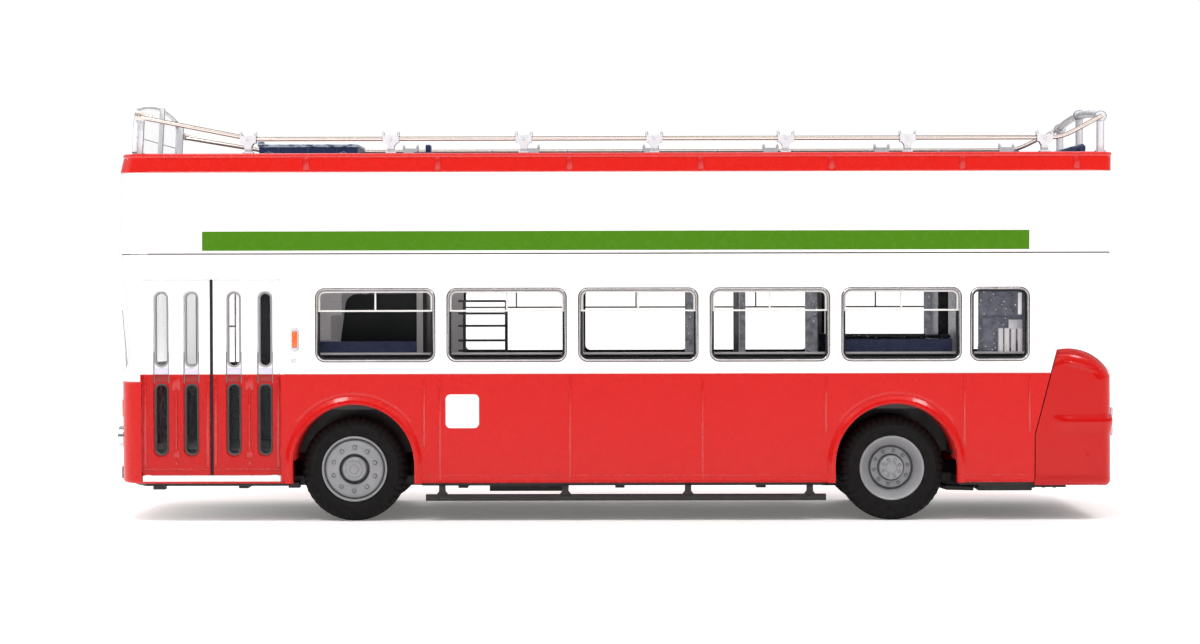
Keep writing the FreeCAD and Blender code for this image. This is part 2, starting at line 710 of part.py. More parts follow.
# posts behind it, the middle one carried down to the floor
posts = new_body("windscreen_posts")
sk = new_sketch(posts, "XZ")
loop(sk, [
    (-60.28, upper_floor_top), (-59.7, upper_floor_top), (-59.7, d.top_z), (-59.3, 53.1),
    (-59.87, 53.1), (-60.28, d.top_z),
])
pad(posts, sk, 0.7, both=True)
for side in (-1, 1):
    sk = new_sketch(posts, "XZ", -14.2 * side)
    loop(sk, [(-60.28, d.top_z), (-59.6, d.top_z), (-59.3, 51.5), (-59.96, 51.5)])
    pad(posts, sk, 0.75, back=side > 0)

# handrails
def rail_route(level, x0, z0, knee, rise, x1, z1):
    """Down a slope to the level run and up another at the back, with tangent bends."""
    z = level.value
    a = math.atan2(z0 - z, knee - x0)
    b = math.atan2(z1 - z, x1 - rise)
    ra, rb = 9.0, 6.0
    ta, tb = ra * math.tan(a / 2), rb * math.tan(b / 2)
    return [
        (x0, z0), (knee - ta * math.cos(a), z + ta * math.sin(a), ra), (knee + ta, level),
        (rise - tb, level, rb), (rise + tb * math.cos(b), z + tb * math.sin(b)), (x1, z1),
    ]


def side_rail(label, side, level, x0, z0, knee, rise):
    body = new_body(label)
    y = d.rail_y * side
    prof = new_sketch(body, "YZ", x0)
    circle(prof, y, z0, d.rail_rad)
    line = new_sketch(body, "XZ", -y)
    path(line, rail_route(level, x0, z0, knee, rise, 61.3, 50.95))
    f = body.newObject("PartDesign::AdditivePipe", "Rail")
    f.Profile = (prof, [""])
    f.Spine = (line, ["Edge%d" % (k + 1) for k in range(5)])
    f.Transition = 1
    body.Tip = f
    return body


side_rail("nearside_handrail", -1, d.rail_z, -59.5, 50.95, -45.6, 56.15)
side_rail("offside_handrail", 1, d.rail_off_z, -59.1, 50.0, -47.4, 55.3)
rear_rail = new_body("rear_handrail")
sk = new_sketch(rear_rail, "XY", d.top_z)
for y in (-14.6, 14.6):
    circle(sk, d.rear_rail_x, y, 0.48)
pad(rear_rail, sk, 4.4)
sk = new_sketch(rear_rail, "XY", d.top_z)
circle(sk, d.rear_rail_x, 0.0, 0.48)
pad(rear_rail, sk, 5.3)
prof = new_sketch(rear_rail, "XZ", 15.25)
circle(prof, d.rear_rail_x, 50.9, d.rear_rail_rad)
line = new_sketch(rear_rail, "YZ", d.rear_rail_x)
path(line, [(-15.25, 50.9, -130.0), (15.25, 50.9)])
f = rear_rail.newObject("PartDesign::AdditivePipe", "Rail")
f.Profile = (prof, [""])
f.Spine = (line, ["Edge1"])
rear_rail.Tip = f

BRACKETS = (-46.05, -28.1, -11.4, 5.0, 21.5, 36.8, 54.0)


def brackets(label, side, level):
    """Clamp blocks with two small horns, each on a flat stem standing on the band."""
    body = new_body(label)
    y = d.rail_y * side
    sk = new_sketch(body, "XY", d.top_z)
    for x in BRACKETS:
        rect(sk, x - 0.44, y - 0.4, x + 0.44, y + 0.4)
    pad(body, sk, 0.9)
    sk = new_sketch(body, "XZ", -(y - 0.55))
    for x in BRACKETS:
        loop(sk, [
            (x - 0.44, level - 1.3), (x + 0.44, level - 1.3), (x + 0.44, level - 0.95), (x + 0.72, level - 0.55), (x + 1.0, level - 0.5),
            (x + 1.0, level + 0.72), (x + 0.84, level + 0.42), (x - 0.84, level + 0.42),
            (x - 1.0, level + 0.72), (x - 1.0, level - 0.5), (x - 0.72, level - 0.55), (x - 0.44, level - 0.95),
        ])
    pad(body, sk, 1.1, back=True)
    sk = new_sketch(body, "YZ", -50)
    rect(sk, y - 0.32, level - 0.32, y + 0.32, level + 2)
    pocket(body, sk, 110, back=True)
    return body


brackets("nearside_rail_brackets", -1, d.rail_z)
brackets("offside_rail_brackets", 1, d.rail_off_z)

# ---------------------------------------------------------------- saloon
floor = new_body("saloon_floor")
sk = new_sketch(floor, "XY", d.floor_z)
loop(sk, [(-59.7, -14.7), (51.8, -14.7), (51.8, 14.7), (-59.7, 14.7)])
pad(floor, sk, d.floor_thick)
WHEEL_BOXES = ((d.front_axle_x, 9.0), (d.rear_axle_x, 7.4))
for x, y in WHEEL_BOXES:
    for side in (-1, 1):
        sk = new_sketch(floor, "XY", d.floor_z)
        rect(sk, x - 8.4, y * side, x + 8.4, 14.7 * side)
        pad(floor, sk, 6.4)
for x, y in WHEEL_BOXES:
    for side in (-1, 1):
        sk = new_sketch(floor, "XY", d.floor_z - 1)
        rect(sk, x - 7.8, (y + 0.6) * side, x + 7.8, 16.0 * side)
        pocket(floor, sk, 6.8, back=True)
saloon_top = d.floor_z + d.floor_thick + 0.02
saloon_seats = seat_row("saloon_seats", -13.5, saloon_top, 14.6, 19.9, -d.seat_out + 0.5, -d.aisle_half, 4)
sk = new_sketch(saloon_seats, "XZ", -d.aisle_half)
loop(sk, seat_profile(q(-13.5), saloon_top, q(14.6), q(19.9)))
f = pad(saloon_seats, sk, d.seat_out - 0.5 - d.aisle_half, back=True)
pattern(saloon_seats, [f], "X_Axis", d.seat_pitch, 4)
# seats on top of the wheel boxes, facing inwards, and the raised bench across the back
benches = new_body("wheel_box_benches")
for x0, x1, ys in ((-39.6, -25.2, (-1,)), (28.0, 42.6, (-1, 1))):
    for side in ys:
        sk = new_sketch(benches, "YZ", x0)
        base = d.floor_z + 6.42
        loop(sk, [
            (9.2 * side, base), (14.2 * side, base), (14.2 * side, 22.65 if x0 < 0 else 22.85), (13.2 * side, 22.65 if x0 < 0 else 22.85),
            (13.0 * side, base + 2.2), (9.2 * side, base + 2.0),
        ])
        pad(benches, sk, x1 - x0)
rear_seat = seat_row("lower_rear_bench", 50.6, saloon_top, 17.5, 22.6, -14.2, 14.2, 1)
bulkhead = box_node("rear_bulkhead", [(51.9, 52.6, -14.3, 14.3, d.floor_z, 21.2)])
# stairs: one folded block of steps rising towards the back, inside a tall side panel
stairs = new_body("staircase")
sk = new_sketch(stairs, "XZ", -6.3)
steps = [(-44.0, saloon_top)]
n = 7
for k in range(n):
    x = -44.0 + 1.45 * k
    steps.append((x, 9.12 + 3.3 * (k + 1)))
    steps.append((x + 1.45, 9.12 + 3.3 * (k + 1)))
steps.append((-44.0 + 1.45 * n, 9.12 + 3.3 * n - 4.5))
steps.append((-41.4, 14.8))
steps.append((-41.4, saloon_top))
loop(sk, steps[::-1])
pad(stairs, sk, 7.2, back=True)
panel = new_body("stair_panel")
sk = new_sketch(panel, "XZ", -5.4)
loop(sk, [(-38.6, saloon_top), (-26.6, saloon_top), (-26.6, 28.5), (-34.6, 28.5, 1.6), (-36.15, 26.9)])
pad(panel, sk, 0.7, back=True)
guard = new_body("stair_guard")
sk = new_sketch(guard, "XZ", -13.3)
rect(sk, -20.85, 20.3, -20.45, 27.6)
rect(sk, -15.1, 20.3, -14.7, 27.6)
pad(guard, sk, 0.4, back=True)
for z in (20.5, 21.9, 23.9, 25.6, 27.3):
    sk = new_sketch(guard, "XZ", -13.3)
    rect(sk, -21.5, z, -14.7, z + 0.3)
    pad(guard, sk, 0.4, back=True)
poles = new_body("grab_poles")
sk = new_sketch(poles, "XY", saloon_top)
for x, y in ((-24.2, -3.9), (15.8, -3.9), (-41.3, -8.2)):
    circle(sk, x, y, 0.35)
pad(poles, sk, q(33.75) - saloon_top)
partition = new_body("saloon_partition")
sk = new_sketch(partition, "YZ", 43.4)
rect(sk, 4.4, saloon_top, 14.1, 31.0)
rect(sk, -14.1, saloon_top, -4.4, 31.0)
pad(partition, sk, 0.6)
# driver's place, on the offside at the front
cab_wall = new_body("cab_partition")
sk = new_sketch(cab_wall, "YZ", -46.2)
rect(sk, 3.0, saloon_top, 14.6, 22.0)
pad(cab_wall, sk, 0.6)
sk = new_sketch(cab_wall, "XZ", -3.0)
rect(sk, -54.0, saloon_top, -45.7, 18.0)
pad(cab_wall, sk, 0.6, back=True)
seat_row("drivers_seat", -48.4, saloon_top, 14.0, 20.5, 6.2, 12.2, 1)
dash = new_body("dashboard")
sk = new_sketch(dash, "XZ", -4.6)
loop(sk, [(-59.9, saloon_top), (-57.2, saloon_top), (-56.6, 15.0), (-57.6, 16.4), (-59.9, 17.0)])
pad(dash, sk, 9.4, back=True)
wheel = new_body("steering_wheel")
sk = new_sketch(wheel, "XY", 17.0)
circle(sk, -55.3, 9.2, 1.9)
circle(sk, -55.3, 9.2, 1.45)
pad(wheel, sk, 0.35)
sk = new_sketch(wheel, "XY", 17.05)
rect(sk, -57.0, 9.0, -53.6, 9.4)
pad(wheel, sk, 0.25)
sk = new_sketch(wheel, "XY", saloon_top)
circle(sk, -55.3, 9.2, 0.35)
pad(wheel, sk, q(17.2) - saloon_top)

# ---------------------------------------------------------------- base
plate = new_body("chassis_plate")
sk = new_sketch(plate, "XY", d.plate_low)
loop(sk, [
    (-59.3, -15.0), (-41.4, -15.0), (-41.4, -10.9), (-24.4, -10.9), (-24.4, -15.0),
    (26.4, -15.0), (26.4, -7.6), (43.4, -7.6), (43.4, -15.0), (52.3, -15.0), (52.3, -14.4),
    (60.75, -14.4), (60.75, 14.4), (52.3, 14.4), (52.3, 15.0), (43.4, 15.0), (43.4, 7.6), (26.4, 7.6), (26.4, 15.0),
    (-24.4, 15.0), (-24.4, 10.9), (-41.4, 10.9), (-41.4, 15.0), (-59.3, 15.0), (-61.1, 12.0), (-61.1, -12.0),
])
pad(plate, sk, d.plate_thick)
# frame members, gearbox and sump shapes moulded below
for x0, x1, y0, y1, z0 in (
    (-58.0, 60.0, -5.4, -4.2, 3.75), (-58.0, 60.0, 4.2, 5.4, 3.75),
    (-48.0, -46.8, -12.0, 12.0, 3.9), (-20.0, -18.8, -12.0, 12.0, 3.9), (0.0, 1.2, -12.0, 12.0, 3.9), (18.0, 19.2, -12.0, 12.0, 3.9),
    (-58.4, -56.9, -15.0, -13.6, 4.0), (-41.4 - 0.2, -40.2, -12.6, -10.9, 4.0),
    (44.6, 58.8, -4.0, 11.0, 3.2), (46.2, 53.0, -12.4, -6.0, 3.5), (8.0, 17.0, 7.2, 12.4, 3.4), (-16.0, -6.0, -12.0, -7.0, 3.5),
):
    sk = new_sketch(plate, "XY", z0)
    rect(sk, x0, y0, x1, y1)
    pad(plate, sk, d.plate_low + 0.2 - z0)
# saddles that carry the two axles
for x, y0, y1 in ((d.front_axle_x, 7.9, 10.4), (d.rear_axle_x, 4.4, 6.9)):
    for side in (-1, 1):
        sk = new_sketch(plate, "XY", d.plate_low + d.plate_thick - 0.2)
        rect(sk, x - 1.9, y0 * side, x + 1.9, y1 * side)
        pad(plate, sk, q(7.95) - (d.plate_low + d.plate_thick - 0.2))
    sk = new_sketch(plate, "XZ")
    circle(sk, x, d.axle_z, d.axle_bore)
    pocket(plate, sk, 24, both=True)
# screw bosses and their holes
SCREWS = (-53.0, 23.0)
for x in SCREWS:
    sk = new_sketch(plate, "XY", d.plate_low)
    circle(sk, x, 0.0, 2.6)
    pad(plate, sk, 3.6)
    sk = new_sketch(plate, "XY", d.plate_low - 1)
    circle(sk, x, 0.0, d.screw_rad)
    pocket(plate, sk, 6, back=True)


guards = new_body("side_guards")
for side in (-1, 1):
    lo, hi = 14.6, 15.35
    sk = new_sketch(guards, "XY", 2.55)
    rect(sk, -23.9, lo * side, 26.6, hi * side)
    pad(guards, sk, 0.8)
    for x in (-21.84, -6.29, 9.2, 24.56):
        sk = new_sketch(guards, "XZ", -lo if side > 0 else hi)
        loop(sk, [(x - 0.75, 3.3), (x + 0.75, 3.3), (x + 0.4, 3.75), (x + 0.4, d.plate_low), (x - 0.4, d.plate_low), (x - 0.4, 3.75)])
        pad(guards, sk, hi - lo, back=True)
bumper = new_body("front_bumper")
sk = new_sketch(bumper, "XY", 5.3)
loop(sk, [
    (-62.54, -12.95, -170.5), (-62.54, 12.95), (-62.72, 12.95, 170.0), (-62.72, -12.95),
])
pad(bumper, sk, 1.5)

# ---------------------------------------------------------------- running gear
def axle(label, x, half):
    body = new_body(label)
    sk = new_sketch(body, "XZ")
    circle(sk, 0, 0, d.axle_rad)
    pad(body, sk, half * 2, both=True)
    body.Placement = Placement(Vector(x.value, 0, VALUE["axle_z"]), Rotation())
    bind(body, "Placement.Base.x", x)
    bind(body, "Placement.Base.z", d.axle_z)
    return body


def turned(label, x, section):
    """Two mirrored solids of revolution about the axle; section is (radius, distance out)."""
    body = new_body(label)
    sk = new_sketch(body, "XY")
    loop(sk, [(r, -q(y)) for r, y in section])
    first = revolve(body, sk)
    mirror(body, [first], "XZ")
    body.Placement = Placement(Vector(x.value, 0, VALUE["axle_z"]), Rotation())
    bind(body, "Placement.Base.x", x)
    bind(body, "Placement.Base.z", d.axle_z)
    return body


axle("front_axle", d.front_axle_x, 15.0)
axle("rear_axle", d.rear_axle_x, 13.1)
R = d.rim_rad
turned("front_hubs", d.front_axle_x, [
    (d.axle_rad, 12.0), (R, 12.0), (R, 15.3), (R - 0.2, 15.42), (R - 0.45, 15.2), (R - 0.65, 15.05),
    (2.05, 15.45), (1.9, 15.75), (1.45, 15.75), (1.35, 15.9), (0, 15.98), (0, 15.0), (d.axle_rad, 15.0),
])
R = d.rear_rim_rad
turned("rear_hubs", d.rear_axle_x, [
    (d.axle_rad, 8.7), (R, 8.7), (R, 15.1), (R - 0.2, 15.25), (R - 0.5, 15.0), (2.8, 13.55), (2.56, 13.45), (1.6, 13.45),
    (1.52, 14.55), (1.35, 14.75), (0, 14.85), (0, 13.1), (d.axle_rad, 13.1),
])
T = d.tyre_rad
R = d.rim_rad
turned("front_tyres", d.front_axle_x, [
    (R, 11.9), (R, 15.15), (R + 0.4, 15.45), (T - 1.1, 15.55), (T - 0.45, 15.3), (T - 0.08, 14.85), (T, 14.4),
    (T, 12.9), (T - 0.08, 12.45), (T - 0.45, 12.0), (T - 1.1, 11.75), (R + 0.4, 11.8),
])
R = d.rear_rim_rad
turned("rear_tyres", d.rear_axle_x, [
    (R, 8.6), (R, 15.0), (R + 0.4, 15.35), (T - 1.1, 15.45), (T - 0.45, 15.2), (T - 0.08, 14.8), (T, 14.4),
    (T, 13.3), (T - 0.1, 12.9), (T - 0.5, 12.5), (T - 1.5, 12.3), (T - 1.5, 11.8), (T - 0.5, 11.6), (T - 0.1, 11.2),
    (T, 10.8), (T, 9.7), (T - 0.1, 9.2), (T - 0.45, 8.8), (T - 1.1, 8.5), (R + 0.4, 8.5),
])

# ---------------------------------------------------------------- lamps and plates
heads = new_body("headlamps")
sk = new_sketch(heads, "YZ", -62.3)
for y in HEADLAMPS:
    circle(sk, y, 10.6, 1.15)
pad(heads, sk, 0.8, back=True)
tails = new_body("rear_lamps")
sk = new_sketch(tails, "YZ", d.rear_face + 0.2)
for y in (-13.4, 13.4):
    round_rect(sk, y - 0.6, 10.6, y + 0.6, 14.1, 0.3)
pad(tails, sk, 0.3)
plates = new_body("number_plates")
sk = new_sketch(plates, "YZ", -63.0)
rect(sk, -3.0, 7.3, 3.0, 8.7)
pad(plates, sk, 0.2, back=True)
sk = new_sketch(plates, "YZ", d.rear_face + 0.2)
rect(sk, -3.0, 15.4, 3.0, 16.8)
pad(plates, sk, 0.25)
side_lamps = new_body("side_repeaters")
for side in (-1, 1):
    sk = new_sketch(side_lamps, "XZ", -(d.half_width if side > 0 else -(d.half_width)))
    round_rect(sk, -40.65, 22.0, -39.8, 24.0, 0.35)
    pad(side_lamps, sk, 0.35, back=side > 0)

# ---------------------------------------------------------------- check and write
doc.recompute()
bad = []
for obj in doc.Objects:
    if "Invalid" in obj.State or "Error" in obj.State:
        bad.append("%s (%s) %s" % (obj.Name, obj.Label, obj.State))
for cut in CUTS:
    base = cut.BaseFeature
    if base is not None and not base.Shape.isNull() and not cut.Shape.isNull():
        if cut.Shape.Volume > base.Shape.Volume - 1e-4:
            bad.append("%s cuts nothing" % cut.Name)
for label, body in NODES.items():
    shape = body.Shape
    if shape.isNull() or not shape.isValid() or not shape.Solids:
        bad.append("%s has no valid shape" % label)
if bad:
    raise SystemExit("\n".join(bad))
for label, body in NODES.items():
    body.Shape.exportStep("parts/%s.step" % label)
    box = body.Shape.BoundBox
    print("%-24s solids %2d volume %9.2f  x %7.2f %7.2f  y %7.2f %7.2f  z %6.2f %6.2f" % (
        label, len(body.Shape.Solids), body.Shape.Volume, box.XMin, box.XMax, box.YMin, box.YMax, box.ZMin, box.ZMax))
print(len(NODES), "nodes")
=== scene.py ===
import math

import bpy
import bmesh
from mathutils import Matrix, Vector


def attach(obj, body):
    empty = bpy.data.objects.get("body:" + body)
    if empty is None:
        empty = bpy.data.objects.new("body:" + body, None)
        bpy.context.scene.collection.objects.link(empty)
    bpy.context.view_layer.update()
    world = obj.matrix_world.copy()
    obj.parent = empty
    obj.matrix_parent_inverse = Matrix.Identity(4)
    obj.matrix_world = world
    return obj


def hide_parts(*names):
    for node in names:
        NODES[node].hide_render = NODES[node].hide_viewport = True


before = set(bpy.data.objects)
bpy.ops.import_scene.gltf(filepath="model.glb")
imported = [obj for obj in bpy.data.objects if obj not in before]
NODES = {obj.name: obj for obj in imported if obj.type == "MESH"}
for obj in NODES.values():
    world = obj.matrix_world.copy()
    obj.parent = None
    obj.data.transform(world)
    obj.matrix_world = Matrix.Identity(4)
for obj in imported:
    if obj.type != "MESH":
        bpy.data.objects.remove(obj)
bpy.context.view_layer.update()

BUS, FRONT, REAR = "bus_body", "front_wheel_set", "rear_wheel_set"
MM = 0.001


def srgb(r, g, b):
    def one(c):
        c /= 255.0
        return c / 12.92 if c <= 0.04045 else ((c + 0.055) / 1.055) ** 2.4
    return (one(r), one(g), one(b), 1.0)


def shade(c, k):
    return (min(1, c[0] * k), min(1, c[1] * k), min(1, c[2] * k), 1.0)


# ------------------------------------------------------------------ materials
class Graph:
    """A material's node tree. Positions in it are in millimetres, in the model's own frame."""

    def __init__(self, name):
        self.mat = bpy.data.materials.new(name)
        self.mat.use_nodes = True
        self.tree = self.mat.node_tree
        self.tree.nodes.clear()
        self.out = self.add("ShaderNodeOutputMaterial")
        self.bsdf = self.add("ShaderNodeBsdfPrincipled")
        self.tree.links.new(self.bsdf.outputs[0], self.out.inputs[0])
        tc = self.add("ShaderNodeTexCoord")
        self.mm = self.add("ShaderNodeVectorMath", [tc.outputs["Object"], None, None, 1000.0], operation="SCALE").outputs[0]
        sep = self.add("ShaderNodeSeparateXYZ", [self.mm])
        self.x, self.y, self.z = sep.outputs

    def add(self, kind, ins=(), **props):
        node = self.tree.nodes.new(kind)
        for k, v in props.items():
            setattr(node, k, v)
        items = ins.items() if isinstance(ins, dict) else enumerate(ins)
        for k, v in items:
            if v is None:
                continue
            if isinstance(v, bpy.types.NodeSocket):
                self.tree.links.new(v, node.inputs[k])
            else:
                node.inputs[k].default_value = v
        return node

    def math(self, op, a, b=None, clamp=False):
        return self.add("ShaderNodeMath", [a, b], operation=op, use_clamp=clamp).outputs[0]

    def over(self, a, b):
        return self.math("GREATER_THAN", a, b)

    def both(self, a, b):
        return self.math("MULTIPLY", a, b)

    def either(self, a, b):
        return self.math("MAXIMUM", a, b)

    def between(self, a, lo, hi):
        return self.both(self.over(a, lo), self.math("LESS_THAN", a, hi))

    def mix(self, fac, a, b):
        n = self.tree.nodes.new("ShaderNodeMix")
        n.data_type = "RGBA"
        for sock, v in ((n.inputs[0], fac), (n.inputs[6], a), (n.inputs[7], b)):
            if isinstance(v, bpy.types.NodeSocket):
                self.tree.links.new(v, sock)
            else:
                sock.default_value = v
        return n.outputs[2]

    def noise(self, scale, detail=2.0, rough=0.5, stretch=None):
        vec = self.mm
        if stretch:
            vec = self.add("ShaderNodeVectorMath", [vec, stretch], operation="MULTIPLY").outputs[0]
        return self.add("ShaderNodeTexNoise", {"Vector": vec, "Scale": scale, "Detail": detail, "Roughness": rough}).outputs[0]

    def spread(self, fac, lo, hi, to_lo=0.0, to_hi=1.0):
        return self.add("ShaderNodeMapRange", [fac, lo, hi, to_lo, to_hi]).outputs[0]

    def speckle(self, scale, size):
        v = self.add("ShaderNodeTexVoronoi", {"Vector": self.mm, "Scale": scale})
        return self.math("LESS_THAN", v.outputs["Distance"], size)

    def color(self, c, vary=0.06, scale=0.25, grime=0.0):
        """c, a shade lighter and darker over the surface, and dusty where grime is over 0."""
        base = c
        if isinstance(c, bpy.types.NodeSocket):
            dark = self.add("ShaderNodeHueSaturation", {"Saturation": 1.0, "Value": 1.0 - vary, "Color": c}).outputs[0]
            base = self.mix(self.spread(self.noise(scale, 3), 0.35, 0.65), dark, c)
        else:
            base = self.mix(self.spread(self.noise(scale, 3), 0.3, 0.7), shade(c, 1 - vary), shade(c, 1 + vary))
        if grime:
            dust = self.spread(self.noise(1.3, 5, 0.65), 0.56, 0.8, 0.0, grime)
            base = self.mix(dust, base, srgb(150, 145, 138))
        self.set(self.bsdf, "Base Color", base)
        return base

    def set(self, node, key, v):
        if isinstance(v, bpy.types.NodeSocket):
            self.tree.links.new(v, node.inputs[key])
        else:
            node.inputs[key].default_value = v

    def rough(self, lo, hi, scale=1.0):
        self.set(self.bsdf, "Roughness", self.spread(self.noise(scale, 4), 0.3, 0.7, lo, hi))

    def bump(self, layers):
        """layers are (height socket, strength, depth in mm)."""
        normal = None
        for h, strength, depth in layers:
            node = self.add("ShaderNodeBump", {"Strength": strength, "Distance": depth * MM, "Height": h})
            if normal is not None:
                self.tree.links.new(normal, node.inputs["Normal"])
            normal = node.outputs[0]
        self.tree.links.new(normal, self.bsdf.inputs["Normal"])

    def const(self, **kw):
        for k, v in kw.items():
            self.bsdf.inputs[k.replace("_", " ")].default_value = v
        return self


RED = srgb(199, 13, 10)
DOOR_RED = srgb(186, 11, 9)
COVER_RED = srgb(186, 7, 4)
BAND = srgb(202, 26, 19)
WHITE = srgb(243, 242, 240)
GREEN = srgb(69, 120, 13)
INSIDE = srgb(120, 117, 115)
BLUE = srgb(22, 40, 84)


def gloss(g, coat=0.24, lo=0.2, hi=0.32):
    g.rough(lo, hi, 0.9)
    g.const(Coat_Weight=coat, Coat_Roughness=0.06, Specular_IOR_Level=0.17)
    g.bump([(g.noise(0.5, 2), 0.06, 0.05), (g.noise(9.0, 3), 0.06, 0.006), (g.math("MULTIPLY", g.speckle(0.6, 0.045), -1.0), 0.2, 0.006)])


def behind_nose(g):
    """x with the front's bow taken out of it."""
    return g.math("SUBTRACT", g.x, g.math("MULTIPLY", g.math("MULTIPLY", g.y, g.y), 1 / 340.0))


def paint_lower():
    g = Graph("paint_lower_deck")
    waist = g.math("SUBTRACT", 18.6, g.math("MULTIPLY", g.math("LESS_THAN", g.x, -59.75), 0.92))
    white = g.over(g.z, waist)
    col = g.mix(white, RED, WHITE)
    # a soft overspray line along the masked edge
    edge = g.math("ABSOLUTE", g.math("SUBTRACT", g.z, waist))
    col = g.mix(g.math("MULTIPLY", g.math("LESS_THAN", edge, 0.09), 0.35), col, srgb(196, 70, 62))
    inside = g.both(g.math("LESS_THAN", g.math("ABSOLUTE", g.y), 15.28), g.both(g.over(behind_nose(g), -62.2), g.math("LESS_THAN", g.x, 61.1)))
    inside = g.both(inside, g.over(g.z, 16.2))
    col = g.mix(inside, col, INSIDE)
    g.color(col, 0.018, 0.05)
    gloss(g)
    return g.mat


def paint_upper():
    g = Graph("paint_upper_deck")
    band = g.over(g.z, 44.1)
    col = g.mix(band, WHITE, BAND)
    side = g.over(g.math("ABSOLUTE", g.y), 16.2)
    stripe = g.both(side, g.both(g.between(g.x, -51.85, 52.0), g.between(g.z, 34.15, 36.58)))
    col = g.mix(stripe, col, GREEN)
    line = g.both(g.between(g.z, 44.02, 44.12), g.over(g.math("ABSOLUTE", g.y), 15.4))
    col = g.mix(g.math("MULTIPLY", line, 0.5), col, srgb(150, 40, 34))
    inside = g.both(g.both(g.math("LESS_THAN", g.math("ABSOLUTE", g.y), 15.25), g.both(g.over(behind_nose(g), -62.1), g.math("LESS_THAN", g.x, 61.1))), g.math("LESS_THAN", g.z, 46.2))
    col = g.mix(inside, col, srgb(196, 195, 192))
    g.color(col, 0.018, 0.05)
    gloss(g)
    return g.mat


def paint_cover():
    g = Graph("paint_engine_cover")
    g.color(COVER_RED, 0.018, 0.06)
    gloss(g, 0.24, 0.16, 0.26)
    return g.mat


def paint_doors():
    g = Graph("paint_doors")
    col = g.mix(g.over(g.z, 18.6), DOOR_RED, WHITE)
    edge = g.math("ABSOLUTE", g.math("SUBTRACT", g.z, 18.6))
    col = g.mix(g.math("MULTIPLY", g.math("LESS_THAN", edge, 0.09), 0.35), col, srgb(196, 70, 62))
    back = g.over(g.y, -15.3)
    col = g.mix(back, col, INSIDE)
    g.color(col, 0.018, 0.1)
    gloss(g)
    return g.mat


def plastic(name, c, lo=0.3, hi=0.5, vary=0.07, grain=6.0, depth=0.012, coat=0.0, grime=0.0, metal=0.0, glow=0.0):
    g = Graph(name)
    g.color(c, vary, 0.3, grime)
    g.rough(lo, hi, 1.2)
    g.const(Metallic=metal)
    if coat:
        g.const(Coat_Weight=coat, Coat_Roughness=0.1)
    # painted light: the part glows in its own colour, though it is no lamp
    if glow:
        g.const(Emission_Color=c, Emission_Strength=glow)
    g.bump([(g.noise(grain, 4), 0.35, depth), (g.noise(0.5, 2), 0.12, 0.05)])
    return g.mat


def edge_shaded(name, lit_centre, edge, lo, hi, metallic=0.0, near=0.08, far=0.6):
    """A round or narrow moulding with painted shade: darker towards its outline, the more its face turns from the
    view.
    """
    g = Graph(name)
    facing = g.add("ShaderNodeLayerWeight", {"Blend": 0.5}).outputs["Facing"]
    g.color(g.mix(g.spread(facing, near, far), lit_centre, edge), 0.05, 0.5)
    g.rough(lo, hi, 1.4)
    g.const(Metallic=metallic)
    if not metallic:
        g.const(Coat_Weight=0.3, Coat_Roughness=0.1)
    g.bump([(g.noise(5.0, 4), 0.3, 0.01)])
    return g.mat


def ribbed(name, c, pitch, axis="x", depth=0.05, **kw):
    """Moulded plastic with fine grooves every pitch mm."""
    g = Graph(name)
    g.color(c, 0.08, 0.3)
    g.rough(kw.get("lo", 0.35), kw.get("hi", 0.55), 1.2)
    # painted light: the grooved part glows in its own colour, though it is no lamp
    if kw.get("glow"):
        g.const(Emission_Color=c, Emission_Strength=kw["glow"])
    pos = getattr(g, axis)
    wave = g.math("SINE", g.math("MULTIPLY", pos, 2 * math.pi / pitch))
    g.bump([(wave, 0.6, depth), (g.noise(6.0, 3), 0.3, 0.012)])
    return g.mat


def speckled(name, c, dots, scale, size, glow=0.0):
    """Clear or grey plastic with bright dots pressed in it."""
    g = Graph(name)
    spot = g.speckle(scale, size)
    col = g.mix(g.spread(g.noise(1.2, 4, 0.7), 0.35, 0.68), shade(c, 0.6), shade(c, 1.35))
    col = g.mix(spot, col, dots)
    g.set(g.bsdf, "Base Color", col)
    # painted light: the mottled colour glows, though the part is no lamp
    if glow:
        g.set(g.bsdf, "Emission Color", col)
        g.const(Emission_Strength=glow)
    g.rough(0.2, 0.5, 2.5)
    g.bump([(spot, 0.8, 0.05), (g.noise(2.5, 5, 0.7), 0.5, 0.05)])
    return g.mat


def clear(name, tint, alpha, haze=0.0, wave=0.02, body=1.6):
    """Clear moulded plastic, thicker looking towards grazing angles."""
    g = Graph(name)
    g.color(tint, 0.05, 0.2)
    fres = g.add("ShaderNodeFresnel", {"IOR": 1.45}).outputs[0]
    scratch = g.spread(g.noise(2.2, 5, 0.7, (0.25, 1.0, 3.0)), 0.62, 0.9, 0.0, haze)
    a = g.math("ADD", g.math("ADD", g.math("MULTIPLY", fres, body), alpha), scratch, clamp=True)
    g.set(g.bsdf, "Alpha", a)
    g.rough(0.02, 0.09, 0.8)
    g.const(Specular_IOR_Level=0.6)
    g.bump([(g.noise(0.35, 2), 0.2, wave)])
    return g.mat


def metal(name, c, lo=0.16, hi=0.32, brushed=None):
    g = Graph(name)
    g.color(c, 0.1, 0.5)
    g.rough(lo, hi, 2.0)
    g.const(Metallic=1.0)
    g.bump([(g.noise(5.0, 4, 0.6, brushed or (1, 1, 1)), 0.25, 0.01)])
    return g.mat


def rubber(name, c, shine=0.35):
    g = Graph(name)
    g.color(c, 0.15, 0.5)
    g.rough(0.55, 0.8, 1.5)
    g.const(Specular_IOR_Level=shine)
    g.bump([(g.noise(7.0, 4, 0.6), 0.5, 0.02), (g.noise(0.9, 2), 0.2, 0.04)])
    return g.mat


